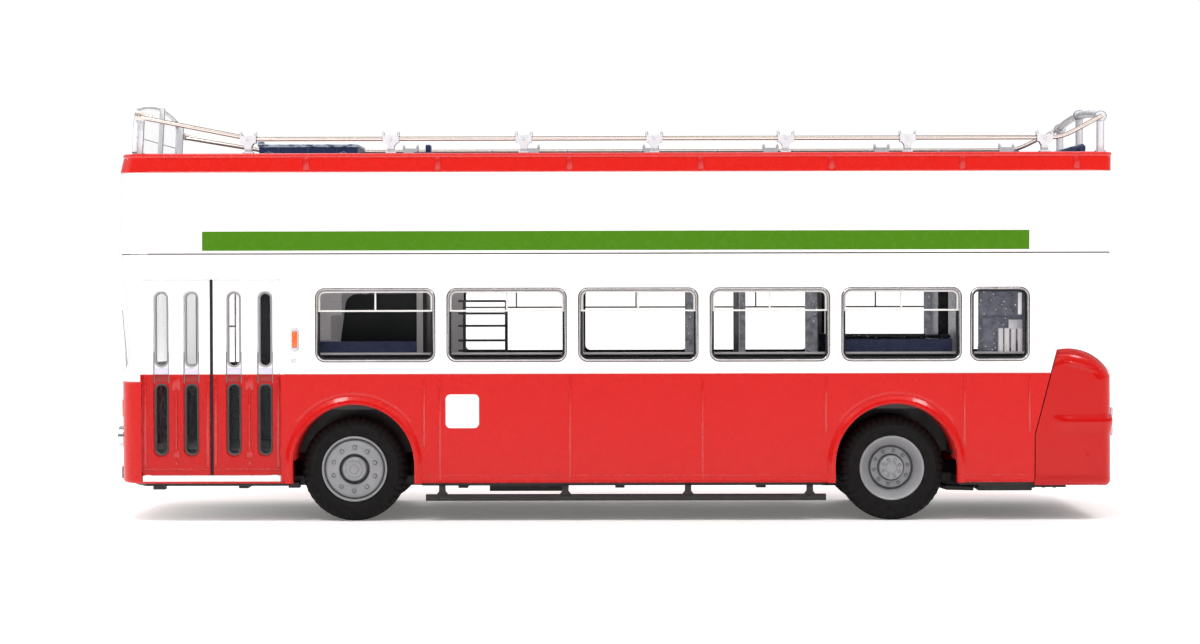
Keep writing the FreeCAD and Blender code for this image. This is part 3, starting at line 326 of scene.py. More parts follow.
def worn_edge():
    """Blue moulding rubbed pale along its edges."""
    g = Graph("stair_cover_worn_edge")
    rub = g.spread(g.noise(1.6, 5, 0.7, (0.5, 1, 2)), 0.38, 0.56)
    g.set(g.bsdf, "Base Color", g.mix(rub, shade(BLUE, 1.3), srgb(186, 194, 206)))
    g.rough(0.35, 0.6, 2.0)
    g.bump([(g.noise(4.0, 4), 0.4, 0.02)])
    return g.mat


M = {
    "lower": paint_lower(), "upper": paint_upper(), "cover": paint_cover(), "doors": paint_doors(),
    "red": plastic("red_enamel", RED, 0.2, 0.32, 0.012, 8.0, 0.003, 0.3),
    "band": plastic("band_enamel", BAND, 0.2, 0.32, 0.012, 8.0, 0.003, 0.3),
    "white": plastic("white_enamel", WHITE, 0.22, 0.34, 0.04, 8.0, 0.006, 0.4),
    "vent": plastic("vent_frame_white", srgb(222, 220, 218), 0.25, 0.4, 0.05, 9.0, 0.006, 0.3),
    "rim": metal("window_rim_silver", srgb(190, 186, 188), 0.12, 0.24),
    "rubber": rubber("glazing_rubber", srgb(22, 20, 21)),
    "glass": clear("window_glazing", srgb(60, 64, 70), 0.0, 0.02, 0.02, 0.4),
    "screen": clear("upper_screen_clear", srgb(244, 245, 248), 0.0, 0.03, 0.05, 0.12),
    "doorglass": clear("door_glazing_smoked", srgb(90, 92, 98), 0.05, 0.04, 0.02, 0.8),
    "blue": plastic("seat_moulding_blue", BLUE, 0.34, 0.5, 0.1, 5.0, 0.018, 0.0, 0.05),
    "worn": worn_edge(),
    "bluefloor": ribbed("deck_floor_blue", srgb(36, 46, 78), 0.55, "y", 0.04),
    "floor": ribbed("saloon_floor_dark", srgb(44, 42, 44), 0.6, "y", 0.04),
    "dark": plastic("saloon_moulding_dark", srgb(26, 25, 29), 0.35, 0.55, 0.12, 5.0, 0.02),
    # painted light: the stair treads glow
    "stairs": ribbed("stair_treads_grey", srgb(132, 128, 130), 0.3, "x", 0.03, glow=0.45),
    "grey": plastic("saloon_moulding_grey", srgb(128, 126, 126), 0.3, 0.5, 0.1, 4.0, 0.02),
    # painted light: the mottled bulkhead glows
    "bulkhead": speckled("bulkhead_mottled", srgb(86, 87, 98), srgb(232, 232, 236), 1.9, 0.13, 0.5),
    "benchtop": speckled("bench_top_speckled", srgb(24, 26, 36), srgb(225, 226, 232), 2.1, 0.14),
    "black": plastic("chassis_black", srgb(30, 28, 29), 0.4, 0.62, 0.15, 4.5, 0.03, 0.0, 0.06),
    "guard": plastic("guard_black", srgb(38, 33, 33), 0.4, 0.6, 0.12, 5.0, 0.02, 0.0, 0.08),
    # bracket, post and rail looks: painted shade, darker towards the outline of each part
    "bracket": edge_shaded("bracket_pale", srgb(208, 206, 210), srgb(126, 122, 130), 0.2, 0.34),
    "post": edge_shaded("post_pale_grey", srgb(228, 229, 234), srgb(136, 138, 147), 0.18, 0.32),
    "rail": edge_shaded("rail_silver", srgb(220, 210, 203), srgb(104, 78, 62), 0.1, 0.2, 0.7, 0.03, 0.42),
    "steel": metal("axle_steel", srgb(170, 168, 166), 0.22, 0.4, (4, 0.3, 4)),
    "hub": plastic("hub_grey", srgb(138, 139, 142), 0.3, 0.46, 0.06, 6.0, 0.012, 0.25, 0.04),
    # darker grey: painted shade in the hubs' grooves, nut rings and back faces; also the lower door pane rubbers
    "hubdark": plastic("hub_recess_grey", srgb(66, 67, 70), 0.4, 0.6, 0.12, 6.0, 0.012),
    "tyre": rubber("tyre_rubber", srgb(9, 7, 7), 0.2),
    "chrome": metal("lamp_silver", srgb(205, 206, 210), 0.08, 0.2),
    "lens": clear("lamp_lens_clear", srgb(225, 228, 232), 0.35, 0.05, 0.0),
    "redlens": plastic("lamp_lens_red", srgb(170, 14, 16), 0.12, 0.25, 0.06, 3.0, 0.01, 0.8),
    "amber": plastic("lamp_lens_amber", srgb(250, 98, 10), 0.12, 0.25, 0.05, 3.0, 0.01, 0.8),
    "plate": plastic("plate_blank_pale", srgb(236, 236, 232), 0.25, 0.4, 0.04, 6.0, 0.006, 0.3),
    "plateyellow": plastic("plate_blank_yellow", srgb(232, 200, 60), 0.25, 0.4, 0.05, 6.0, 0.006, 0.3),
    "sign": plastic("sign_blank_black", srgb(22, 22, 24), 0.2, 0.35, 0.08, 6.0, 0.006, 0.4),
    # dark red and lilac: the door channel's two-tone paint darkened and tinted as painted shade of the recess; lilac
    # is also the step's trim line
    "darkred": plastic("recess_dark_red", srgb(146, 10, 6), 0.3, 0.45, 0.05, 6.0, 0.01, 0.05),
    "lilac": plastic("recess_pale_lilac", srgb(212, 206, 228), 0.25, 0.4, 0.03, 6.0, 0.006, 0.2),
    # painted light: the far-side lining glows
    "farlining": speckled("far_lining_mottled", srgb(118, 118, 124), srgb(236, 236, 240), 1.9, 0.12, 0.7),
    # painted shade: the rear rail darkens towards its outline
    "rearrail": edge_shaded("rear_rail_pale", srgb(224, 224, 228), srgb(158, 158, 166), 0.2, 0.34),
    "bandrib": plastic("band_rib_enamel", srgb(190, 14, 11), 0.2, 0.32, 0.02, 8.0, 0.003, 0.3),
    # painted light: the pale saloon linings glow in place of light reaching the inside
    "lining": plastic("stairwell_lining_pale", srgb(205, 200, 202), 0.3, 0.5, 0.05, 3.0, 0.01, glow=0.2),
    # painted light: the white step moulding glows
    "step": plastic("step_moulding_white", srgb(250, 249, 248), 0.25, 0.4, 0.02, 7.0, 0.006, 0.3, glow=0.3),
    # painted light: the wheel well's red glows faintly inside the dark arch
    "liner": plastic("wheel_well_red", srgb(170, 16, 14), 0.4, 0.6, 0.08, 5.0, 0.01, glow=0.1),
    # painted light: the white joint lip glows so that the joint reads bright
    "lip": plastic("joint_lip_white", srgb(246, 245, 243), 0.25, 0.4, 0.02, 7.0, 0.006, 0.3, glow=0.6),
    "doorred": plastic("door_moulding_red", DOOR_RED, 0.2, 0.32, 0.012, 8.0, 0.003, 0.2),
    "doorseal": plastic("door_pane_surround_grey", srgb(150, 149, 153), 0.3, 0.5, 0.06, 6.0, 0.008),
    # painted light: the inside of the front corner pillar glows white
    "painted_light_white": plastic("front_pillar_clear_white", srgb(240, 240, 243), 0.3, 0.5, 0.03, 3.0, 0.01, glow=0.7),
    "benchblue": plastic("bench_blue_deep", srgb(2, 18, 58), 0.6, 0.78, 0.03, 5.0, 0.01),
    "windscreen": clear("windscreen_glazing", srgb(205, 209, 214), 0.0, 0.02, 0.02, 0.25),
    # painted shadow: a dark line laid where a rim's edge or a joint throws shade
    "painted_shadow_line": plastic("painted_gap_shadow", srgb(62, 54, 48), 0.6, 0.8, 0.1, 6.0, 0.01),
}

# entrance_step, staircase, rear_bulkhead and saloon_partition take looks that glow as painted light
LOOKS = {
    "lower": ["lower_deck_body"], "upper": ["upper_deck_body"], "cover": ["engine_cover"], "doors": ["front_door_pair", "rear_door_pair"],
    "step": ["entrance_step"], "doorglass": ["door_glazing"], "glass": ["nearside_glazing", "offside_glazing", "rear_window"], "windscreen": ["lower_windscreen"],
    "sign": ["destination_panel"], "bluefloor": ["upper_deck_floor"], "blue": ["stair_cover", "upper_seats_nearside", "upper_seats_offside",
    "upper_rear_bench", "saloon_seats", "drivers_seat"], "benchblue": ["wheel_box_benches", "lower_rear_bench"],
    "screen": ["upper_windscreen"], "post": ["windscreen_posts"], "rearrail": ["rear_handrail"], "rail": ["nearside_handrail", "offside_handrail"],
    "bracket": ["nearside_rail_brackets", "offside_rail_brackets"], "floor": ["saloon_floor"], "bulkhead": ["rear_bulkhead", "saloon_partition"],
    "stairs": ["staircase"], "dark": ["stair_panel", "cab_partition", "dashboard", "steering_wheel"], "grey": ["stair_guard", "grab_poles"],
    "black": ["chassis_plate", "front_bumper"], "guard": ["side_guards"], "steel": ["front_axle", "rear_axle"], "hub": ["front_hubs", "rear_hubs"],
    "tyre": ["front_tyres", "rear_tyres"], "chrome": ["headlamps"], "redlens": ["rear_lamps"], "plate": ["number_plates"], "amber": ["side_repeaters"],
}
for look, names in LOOKS.items():
    for name in names:
        me = NODES[name].data
        me.materials.clear()
        me.materials.append(M[look])
for name in NODES:
    if not any(name in v for v in LOOKS.values()):
        raise RuntimeError("no look for " + name)


# ------------------------------------------------------------------ shapes
class Piece:
    """Collects faces in mm and becomes one object."""

    def __init__(self):
        self.v, self.f, self.m = [], [], []

    def add(self, verts, faces, mat=0):
        base = len(self.v)
        self.v += [tuple(p) for p in verts]
        self.f += [tuple(base + i for i in f) for f in faces]
        self.m += [mat] * len(faces)

    def loft(self, loops, closed=True, wrap=False, cap=(False, False), mat=0):
        n = len(loops[0])
        faces = []
        rows = len(loops)
        for i in range(rows if wrap else rows - 1):
            a, b = i * n, ((i + 1) % rows) * n
            for j in range(n if closed else n - 1):
                k = (j + 1) % n
                faces.append((a + j, a + k, b + k, b + j))
        if cap[0]:
            faces.append(tuple(range(n)))
        if cap[1]:
            faces.append(tuple(range((rows - 1) * n, rows * n)))
        self.add([p for lp in loops for p in lp], faces, mat)

    def fan(self, loops, tip, mat=0):
        """A loft that ends in a point."""
        n = len(loops[0])
        verts = [p for lp in loops for p in lp] + [tip]
        faces = []
        for i in range(len(loops) - 1):
            for j in range(n):
                k = (j + 1) % n
                faces.append((i * n + j, i * n + k, (i + 1) * n + k, (i + 1) * n + j))
        last = (len(loops) - 1) * n
        for j in range(n):
            faces.append((last + j, last + (j + 1) % n, len(verts) - 1))
        self.add(verts, faces, mat)

    def build(self, name, mats, body=BUS, slot=None, stands_for=(), angle=32.0):
        me = bpy.data.meshes.new(name)
        me.from_pydata([(x * MM, y * MM, z * MM) for x, y, z in self.v], [], self.f)
        for key in mats:
            me.materials.append(M[key])
        me.polygons.foreach_set("material_index", self.m)
        bm = bmesh.new()
        bm.from_mesh(me)
        bmesh.ops.remove_doubles(bm, verts=bm.verts, dist=2e-7)
        bmesh.ops.dissolve_degenerate(bm, edges=bm.edges, dist=1e-8)
        bmesh.ops.recalc_face_normals(bm, faces=bm.faces)
        for f in bm.faces:
            f.smooth = True
        bm.to_mesh(me)
        bm.free()
        me.set_sharp_from_angle(angle=math.radians(angle))
        ob = bpy.data.objects.new(name, me)
        bpy.context.scene.collection.objects.link(ob)
        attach(ob, body)
        if stands_for:
            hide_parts(*stands_for)
        return ob


def arc(cx, cy, r, a0, a1, n):
    return [(cx + r * math.cos(math.radians(a0 + (a1 - a0) * k / n)), cy + r * math.sin(math.radians(a0 + (a1 - a0) * k / n))) for k in range(n + 1)]


def rrect(x0, z0, x1, z1, r, inset=0.0, n=6):
    """Rounded rectangle, anticlockwise, moved in by inset."""
    x0, z0, x1, z1 = x0 + inset, z0 + inset, x1 - inset, z1 - inset
    r = max(r - inset, 0.02)
    return arc(x1 - r, z0 + r, r, -90, 0, n) + arc(x1 - r, z1 - r, r, 0, 90, n) + arc(x0 + r, z1 - r, r, 90, 180, n) + arc(x0 + r, z0 + r, r, 180, 270, n)


def ngon(cx, cy, r, n, turn=0.0):
    return [(cx + r * math.cos(2 * math.pi * k / n + turn), cy + r * math.sin(2 * math.pi * k / n + turn)) for k in range(n)]


# surfaces: each takes (a, b) along the surface and h, how far the point stands out of it
def side(s, face=16.4):
    return lambda a, b, h: (a, s * (face + h), b)


def front_x(y, grow=0.0):
    """x of the lower body's front face at y, out by grow."""
    ay = abs(y)
    big, small = 170.0 + grow, 3.5 + grow
    if ay <= 13.0:
        return -(math.sqrt(big * big - ay * ay) - 170.0 + 62.998)
    dy = min(ay - 12.901, small)
    return -59.001 - math.sqrt(max(small * small - dy * dy, 0.0))


def nose(z):
    """How far the leaning upper front stands ahead of the lower one."""
    if z <= 44.1:
        return 0.38 - 0.33 * max(0.0, z - 33.8) / 10.3
    return 0.05 - 0.55 * (z - 44.1) / 2.25


def front(a, b, h):
    return (front_x(a, h), a, b)


def rear(face=62.35):
    return lambda a, b, h: (face + h, a, b)


def under(z):
    return lambda a, b, h: (a, b, z - h)


def above(z):
    return lambda a, b, h: (a, b, z + h)


def put(surf, pts, h):
    return [surf(a, b, h) for a, b in pts]


def plate(p, surf, shape, h0, h1, soft=0.05, mat=0, back=False):
    """A raised plate. shape(inset) gives its outline."""
    loops = [put(surf, shape(0), h0), put(surf, shape(0), h1 - soft), put(surf, shape(soft * 0.35), h1 - soft * 0.3), put(surf, shape(soft), h1)]
    p.loft(loops, cap=(back, True), mat=mat)


def bar(p, surf, a0, b0, a1, b1, h0, h1, soft=0.05, rad=0.06, mat=0, back=False, n=2):
    plate(p, surf, lambda i: rrect(a0, b0, a1, b1, rad, i, n), h0, h1, soft, mat, back)


def frame_ring(p, surf, shape, section, mat=0):
    """A closed ring; section is a closed run of (inset, h)."""
    p.loft([put(surf, shape(i), h) for i, h in section], wrap=True, mat=mat)


def dense(shape, steps=12, over=3.0):
    """shape with more points along its long sides, so that it follows a bowed surface."""
    def run(i):
        pts = shape(i)
        out = []
        for a, b in zip(pts, pts[1:] + pts[:1]):
            n = steps if math.dist(a, b) > over else 1
            out += [(a[0] + (b[0] - a[0]) * k / n, a[1] + (b[1] - a[1]) * k / n) for k in range(n)]
        return out
    return run


def dome(p, surf, a, b, r, h, n=16, mat=0, base=0.0, sides=0):
    shape = lambda k: ngon(a, b, r * k, sides or n)
    loops = [put(surf, shape(1), base), put(surf, shape(1), base + h * 0.55), put(surf, shape(0.82), base + h * 0.88), put(surf, shape(0.45), base + h)]
    p.loft(loops, cap=(False, True), mat=mat)


def tube(p, pts, r, n=10, mat=0, caps=True):
    """A round bar along a run of points."""
    pts = [Vector(q) for q in pts]
    loops = []
    up = None
    for i, q in enumerate(pts):
        t = (pts[min(i + 1, len(pts) - 1)] - pts[max(i - 1, 0)]).normalized()
        if up is None:
            up = Vector((0, 0, 1)) if abs(t.z) < 0.9 else Vector((1, 0, 0))
        u = (up - t * up.dot(t)).normalized()
        w = t.cross(u)
        up = u
        rr = r[i] if isinstance(r, (list, tuple)) else r
        loops.append([tuple(q + u * (rr * math.cos(2 * math.pi * k / n)) + w * (rr * math.sin(2 * math.pi * k / n))) for k in range(n)])
    p.loft(loops, cap=(caps, caps), mat=mat)


def turn(p, ax, s, section, n=96, mat=0, az=6.6):
    """A ring or disc about a wheel's axle. section is (radius, distance out); a radius of 0 closes it."""
    loops, tip = [], None
    for r, o in section:
        if r <= 0:
            tip = (ax, s * o, az)
            break
        loops.append([(ax + r * math.cos(2 * math.pi * k / n), s * o, az + r * math.sin(2 * math.pi * k / n)) for k in range(n)])
    if tip:
        p.fan(loops, tip, mat)
    else:
        p.loft(loops, mat=mat)


def rbox(p, x0, x1, y0, y1, z0, z1, r, mat=0, n=3):
    """A block with rounded edges all round."""
    r = min(r, (x1 - x0) / 2.01, (y1 - y0) / 2.01, (z1 - z0) / 2.01)
    loops = []
    steps = [math.radians(90 * k / n) for k in range(n + 1)]
    for a in steps:
        loops.append([(x, y, z0 + r * (1 - math.sin(a))) for x, y in rrect(x0, y0, x1, y1, r, r * (1 - math.cos(a)), n)])
    loops = loops[::-1]
    lo = [lp for lp in loops]
    hi = [[(x, y, z1 - (z - z0)) for x, y, z in lp] for lp in reversed(lo)]
    p.loft(lo + hi, cap=(True, True), mat=mat)


def offset(poly, d):
    """poly (anticlockwise) moved in by d at each corner."""
    out = []
    n = len(poly)
    for i in range(n):
        a, b, c = Vector(poly[i - 1]), Vector(poly[i]), Vector(poly[(i + 1) % n])
        t1, t2 = (b - a).normalized(), (c - b).normalized()
        n1, n2 = Vector((-t1.y, t1.x)), Vector((-t2.y, t2.x))
        m = n1 + n2
        k = d / max(0.35, 1 + n1.dot(n2))
        out.append((b.x + m.x * k, b.y + m.y * k))
    return out


def rounded(poly, rads, n=4):
    """poly with its corners rounded; rads is one radius for each corner."""
    out = []
    m = len(poly)
    for i in range(m):
        r = rads[i] if isinstance(rads, (list, tuple)) else rads
        a, b, c = Vector(poly[i - 1]), Vector(poly[i]), Vector(poly[(i + 1) % m])
        u, v = (a - b), (c - b)
        lu, lv = u.length, v.length
        u.normalize(); v.normalize()
        ang = math.acos(max(-1, min(1, u.dot(v))))
        t = min(r / max(math.tan(ang / 2), 1e-3), lu * 0.48, lv * 0.48)
        p0, p1 = b + u * t, b + v * t
        for k in range(n + 1):
            s = k / n
            q = p0 * (1 - s) ** 2 + b * 2 * s * (1 - s) + p1 * s ** 2
            out.append((q.x, q.y))
    return out


def extrude_y(p, poly, y0, y1, soft, mat=0):
    """A solid with poly (x, z) as its side, its edges softened."""
    area = sum(poly[i - 1][0] * poly[i][1] - poly[i][0] * poly[i - 1][1] for i in range(len(poly)))
    if area < 0:
        poly = poly[::-1]
    loops = []
    for y, d in ((y0, soft), (y0 + soft * 0.3, soft * 0.3), (y0 + soft, 0), (y1 - soft, 0), (y1 - soft * 0.3, soft * 0.3), (y1, soft)):
        loops.append([(x, y, z) for x, z in offset(poly, d)])
    p.loft(loops, cap=(True, True), mat=mat)


def full_path(grow=0.0, n=8, ahead=0.0):
    """The whole plan outline, anticlockwise seen from above, starting at the nearside."""
    hw = 16.4 + grow
    out = [(-58.6, -hw), (0.0, -hw)]
    out += arc(60.55, -14.6, 1.8 + grow, -90, 0, n)
    out += arc(60.55, 14.6, 1.8 + grow, 0, 90, n)
    out += [(0.0, hw), (-58.6, hw)]
    ys = [(hw - 0.2) - 2 * (hw - 0.2) * k / 60 for k in range(61)]
    out += [(front_x(y, grow) - ahead, y) for y in ys]
    return out


def sweep_plan(p, path, section, closed=False, taper=0.0, mat=0):
    """Carries section, a closed run of (out, z), along a plan path, with outward on the path's right-hand side."""
    loops = []
    m = len(path)
    for i, (x, y) in enumerate(path):
        a = path[i - 1] if (closed or i) else path[0]
        b = path[(i + 1) % m] if (closed or i < m - 1) else path[-1]
        tx, ty = b[0] - a[0], b[1] - a[1]
        ln = math.hypot(tx, ty)
        nx, ny = ty / ln, -tx / ln
        k = 1.0
        if taper and not closed:
            d0 = math.dist(path[0], (x, y)); d1 = math.dist(path[-1], (x, y))
            k = min(1.0, min(d0, d1) / taper)
            k = k * k * (3 - 2 * k)
        loops.append([(x + nx * (o if o < 0 else o * k), y + ny * (o if o < 0 else o * k), z) for o, z in section])
    p.loft(loops, wrap=closed, cap=(not closed, not closed), mat=mat)


# ------------------------------------------------------------------ window rims, rubbers and vent frames
WINDOWS = [(-37.6 + 16.53 * k, 14.95) for k in range(5)] + [(44.65, 7.35)]
RIM = [(-0.01, -0.02), (0.01, 0.05), (0.06, 0.09), (0.15, 0.09), (0.22, 0.04), (0.27, -0.08), (0.28, -0.3), (0.03, -0.3), (0.03, -0.02)]
RUBBER = [(0.03, -0.3), (0.28, -0.3), (0.36, -0.36), (0.46, -0.5), (0.48, -0.69), (0.03, -0.69)]


def add_window(p, surf, x0, z0, x1, z1, r, rim=0, rubber=1, depth=1.0):
    shape = lambda i: rrect(x0, z0, x1, z1, r, i, 8)
    frame_ring(p, surf, shape, RIM, rim)
    frame_ring(p, surf, shape, [(i, h if h > -0.5 else h * depth) for i, h in RUBBER], rubber)
    # a thin dark ring just outside each rim: painted shadow along its outer edge
    frame_ring(p, surf, shape, [(-0.1, -0.02), (-0.09, 0.018), (-0.06, 0.03), (-0.01, 0.03), (0.0, -0.02)], 2)


def add_vent(p, surf, x0, x1, mat=0):
    """The opening top light: an outline with square feet, a lower bar and a divider."""
    lo, hi = 26.55, 29.35
    outer = lambda i: [(x1 - i, lo)] + arc(x1 - 1.15, hi - 1.15, 1.15 - i, 0, 90, 8) + arc(x0 + 1.15, hi - 1.15, 1.15 - i, 90, 180, 8) + [(x0 + i, lo)]
    secs = []
    for (ax, az), (bx, bz) in zip(outer(0.3), outer(0.52)):
        mx, mz = (ax * 0.8 + bx * 0.2, az * 0.8 + bz * 0.2), (ax * 0.2 + bx * 0.8, az * 0.2 + bz * 0.8)
        secs.append([surf(ax, az, -0.69), surf(ax, az, -0.3), surf(mx[0], mx[1], -0.25), surf(mz[0], mz[1], -0.25), surf(bx, bz, -0.3), surf(bx, bz, -0.69)])
    p.loft(secs, cap=(True, True), mat=mat)
    bar(p, surf, x0 + 0.28, lo - 0.11, x1 - 0.28, lo + 0.11, -0.69, -0.24, 0.05, 0.05, mat)
    mid = (x0 + x1) / 2
    bar(p, surf, mid - 0.1, lo, mid + 0.1, hi - 0.4, -0.69, -0.28, 0.04, 0.03, mat)


for s, word in ((-1, "nearside"), (1, "offside")):
    p, q = Piece(), Piece()
    for k, (x, w) in enumerate(WINDOWS):
        if s > 0 and k == 0:
            continue
        add_window(p, side(s), x, 20.2, x + w, 29.35, 1.15)
        if k < 5:
            add_vent(q, side(s), x, x + w)
    p.build(word + "_window_rims", ["rim", "rubber", "painted_shadow_line"], slot="rail_metal")
    q.build(word + "_vent_frames", ["vent"], slot="white_plastic")

# driver's window on the offside
p = Piece()
cab_poly = [(-58.2, 19.2), (-57.6, 18.6), (-47.4, 18.6), (-46.6, 19.4), (-46.6, 28.6), (-47.4, 29.4), (-56.8, 29.4), (-58.2, 28.0)]
cab_shape = lambda i: offset(rounded(cab_poly, 0.7, 4), i)
frame_ring(p, side(1), cab_shape, RIM, 0)
frame_ring(p, side(1), cab_shape, [(0.03, -0.3), (0.28, -0.3), (0.36, -0.4), (0.46, -0.6), (0.5, -1.2), (0.03, -1.2)], 1)
for x in (-52.45,):
    bar(p, side(1), x - 0.08, 18.9, x + 0.08, 29.1, -1.0, -0.5, 0.04, 0.03, 0)
    bar(p, side(1), -57.9, 23.9, x, 24.12, -1.2, -0.62, 0.04, 0.04, 0)
p.build("cab_window_rim", ["rim", "rubber"], slot="rail_metal")

# windscreen rubbers and wipers
p = Piece()
for s in (-1, 1):
    y0, y1 = (0.35, 15.7) if s > 0 else (-15.7, -0.35)
    shape = lambda i: rrect(y0, 18.9, y1, 29.9, 1.3, i, 8)
    # more points along the long sides so that the ring follows the bowed front
    def fine(i, shape=shape):
        pts = shape(i)
        out = []
        for a, b in zip(pts, pts[1:] + pts[:1]):
            d = math.dist(a, b)
            steps = 8 if d > 4 else 1
            out += [(a[0] + (b[0] - a[0]) * k / steps, a[1] + (b[1] - a[1]) * k / steps) for k in range(steps)]
        return out
    frame_ring(p, front, fine, [(-0.12, -0.03), (-0.1, 0.05), (0.0, 0.09), (0.14, 0.08), (0.26, 0.0), (0.34, -0.14), (0.34, -0.3), (0.06, -0.3), (0.06, -0.03)], 0)
p.build("windscreen_surrounds", ["vent"], slot="white_plastic")
p = Piece()
for y, lean in ((-7.6, -1), (7.6, -1)):
    foot = (front_x(y, 0.1), y, 18.2)
    dome(p, front, y, 18.15, 0.42, 0.3, 16)
    arm_top = (front_x(y + lean * 3.2, 0.14), y + lean * 3.2, 23.4)
    tube(p, [(foot[0] - 0.1, foot[1], foot[2]), (front_x(y + lean * 0.8, 0.2), y + lean * 0.8, 19.6), arm_top], [0.13, 0.11, 0.08], 8)
    blade = []
    for k in range(9):
        t = k / 8
        yy, zz = y + lean * (1.0 + 4.4 * t), 19.7 + 7.0 * t
        blade.append((front_x(yy, 0.07), yy, zz))
    tube(p, blade, 0.09, 8)
p.build("windscreen_wipers", ["vent"], slot="white_plastic")

# rear window rim
p = Piece()
shape = lambda i: rrect(-11.6, 23.2, 11.6, 29.9, 1.2, i, 8)
frame_ring(p, rear(), shape, RIM, 0)
frame_ring(p, rear(), shape, [(0.03, -0.24), (0.26, -0.24), (0.36, -0.26), (0.42, -0.27), (0.03, -0.27)], 1)
p.build("rear_window_rim", ["rim", "rubber"], slot="rail_metal")

# ------------------------------------------------------------------ seams, ribs and small relief on the castings
p = Piece()
# a dark strip flush in the joint between the two decks: painted shadow of the gap
sweep_plan(p, full_path(0.0), [(-0.35, 33.67), (0.012, 33.67), (0.02, 33.75), (0.012, 33.83), (-0.35, 33.83)], closed=True)
p.build("deck_joint_shadow_line", ["painted_shadow_line"], slot="black_plastic")

LOWER_RIBS = [(-24.0, 9.5), (-22.0, 5.3), (-5.65, 5.3), (11.0, 5.3), (26.5, 11.2), (43.9, 9.5), (52.05, 11.2)]
PILLARS = [-38.6, -21.86, -5.33, 11.2, 27.73, 44.06]


def rib(p, surf, x, z0, z1, w, h, mat=0):
    bar(p, surf, x - w / 2, z0, x + w / 2, z1, -0.05, h, min(0.09, h * 0.9), w * 0.3, mat)


for s, word in ((-1, "nearside"), (1, "offside")):
    p = Piece()
    for x, z0 in LOWER_RIBS:
        rib(p, side(s), x, z0, 18.35, 0.3, 0.07, 0)
    for x in (-38.7, -22.2, -5.65, 10.8, 27.2, 43.6, 57.9):
        rib(p, side(s, 16.45), x, 44.2, 45.85, 0.85, 0.14, 3)
    for x in PILLARS:
        rib(p, side(s), x, 29.9, 33.45, 0.22, 0.035, 2)
        rib(p, side(s), x, 18.85, 19.7, 0.22, 0.035, 2)
    # the moulded line along the foot of the skirt, between and behind the arches
    for x0, x1 in ((-24.0, 26.0), (43.8, 52.3)):
        bar(p, side(s), x0, 5.75, x1, 5.93, -0.05, 0.05, 0.04, 0.05, 0)
    # soft shoulder round each wheel arch
    for ax in (-32.9, 35.35):
        secs = []
        for k in range(65):
            a = math.radians(8 + 164 * k / 64)
            c, sn = math.cos(a), math.sin(a)
            fade = min(1.0, min(k, 64 - k) / 12)
            sec = []
            for r, h in ((8.7, 0.0), (8.8, 0.005), (8.92, 0.01), (9.05, 0.01), (9.2, 0.005), (9.35, 0.0)):
                sec.append(side(s)(ax + r * c, 7.2 + r * sn, -0.02 + (h + 0.012) * fade))
            secs.append(sec)
        p.loft(secs, closed=False, mat=0)
    p.build(word + "_panel_relief", ["red", "band", "white", "bandrib"], slot="body_paint")

# painted inner wall of each wheel well; its red glows faintly as painted light inside the dark arch
for s, word in ((-1, "nearside"), (1, "offside")):
    p = Piece()
    for ax in (-32.9, 35.35):
        secs = []
        for k in range(49):
            a = math.radians(4 + 172 * k / 48)
            secs.append([(ax + r * math.cos(a), s * y, 7.2 + r * math.sin(a)) for r, y in ((7.5, 11.4), (7.5, 15.5), (7.56, 15.7), (7.68, 15.7), (7.68, 11.4))])
        p.loft(secs, cap=(True, True))
    p.build(word + "_wheel_wells", ["liner"], slot="body_paint")

# waist strip: a thin raised line where the colours meet, on both sides
for s, word in ((-1, "nearside"), (1, "offside")):
    p = Piece()
    x0 = -41.6 if s < 0 else -58.0
    bar(p, side(s), x0, 18.53, 54.9, 18.63, -0.04, 0.03, 0.025, 0.04, 0)
    p.build(word + "_waist_strip", ["red"], slot="body_paint")

# gutter line under the red band
p = Piece()
sweep_plan(p, full_path(0.0, 8, 0.05), [(-0.1, 43.98), (0.08, 44.0), (0.12, 44.06), (0.09, 44.11), (-0.1, 44.12)], closed=True)
# rolled lip along the top of the band
sweep_plan(p, full_path(0.0, 8, -0.43), [(0.02, 45.8), (0.16, 45.84), (0.21, 45.94), (0.21, 46.2), (0.16, 46.31), (0.02, 46.37)], closed=True)
p.build("band_edges", ["band"], slot="body_paint")

# blank white square with rounded corners, one each side
p = Piece()
for s in (-1, 1):
    plate(p, side(s), lambda i: rrect(-21.3, 11.8, -17.1, 16.05, 0.6, i, 6), -0.02, 0.03, 0.015, 0)
p.build("blank_side_squares", ["white"], slot="body_paint")

# small raised details by the entrance: a ring socket under the repeater
p = Piece()
for s in (-1, 1):
    frame_ring(p, side(s), lambda i: ngon(-40.35, 20.3, 0.42 - i, 20), [(0, -0.02), (0, 0.07), (0.06, 0.1), (0.16, 0.1), (0.2, 0.05), (0.2, -0.02)], 0)
    dome(p, side(s), -40.35, 20.3, 0.15, 0.05, 12, 0)
    # housing round the amber repeater
    frame_ring(p, side(s), lambda i: rrect(-40.72, 21.55, -39.73, 24.45, 0.45, i, 6), [(0, -0.02), (0, 0.1), (0.05, 0.2), (0.13, 0.22), (0.2, 0.16), (0.22, -0.02)], 0)
p.build("repeater_housings", ["post", "rubber"], slot="white_plastic")
p = Piece()
for s in (-1, 1):
    plate(p, side(s), lambda i: rrect(-40.58, 22.0, -39.87, 24.0, 0.2, i, 4), 0.0, 0.38, 0.12, 0)
    for z in (22.3, 22.6, 22.9, 23.2, 23.5, 23.8):
        bar(p, side(s), -40.5, z - 0.05, -39.95, z + 0.05, 0.3, 0.42, 0.03, 0.03, 0)
    plate(p, side(s), lambda i: rrect(-40.58, 21.62, -39.87, 22.0, 0.12, i, 4), 0.0, 0.26, 0.08, 1)
    plate(p, side(s), lambda i: rrect(-40.58, 24.0, -39.87, 24.38, 0.12, i, 4), 0.0, 0.26, 0.08, 1)
p.build("repeater_lenses", ["amber", "bracket"], slot="lamp_amber", stands_for=("side_repeaters",))

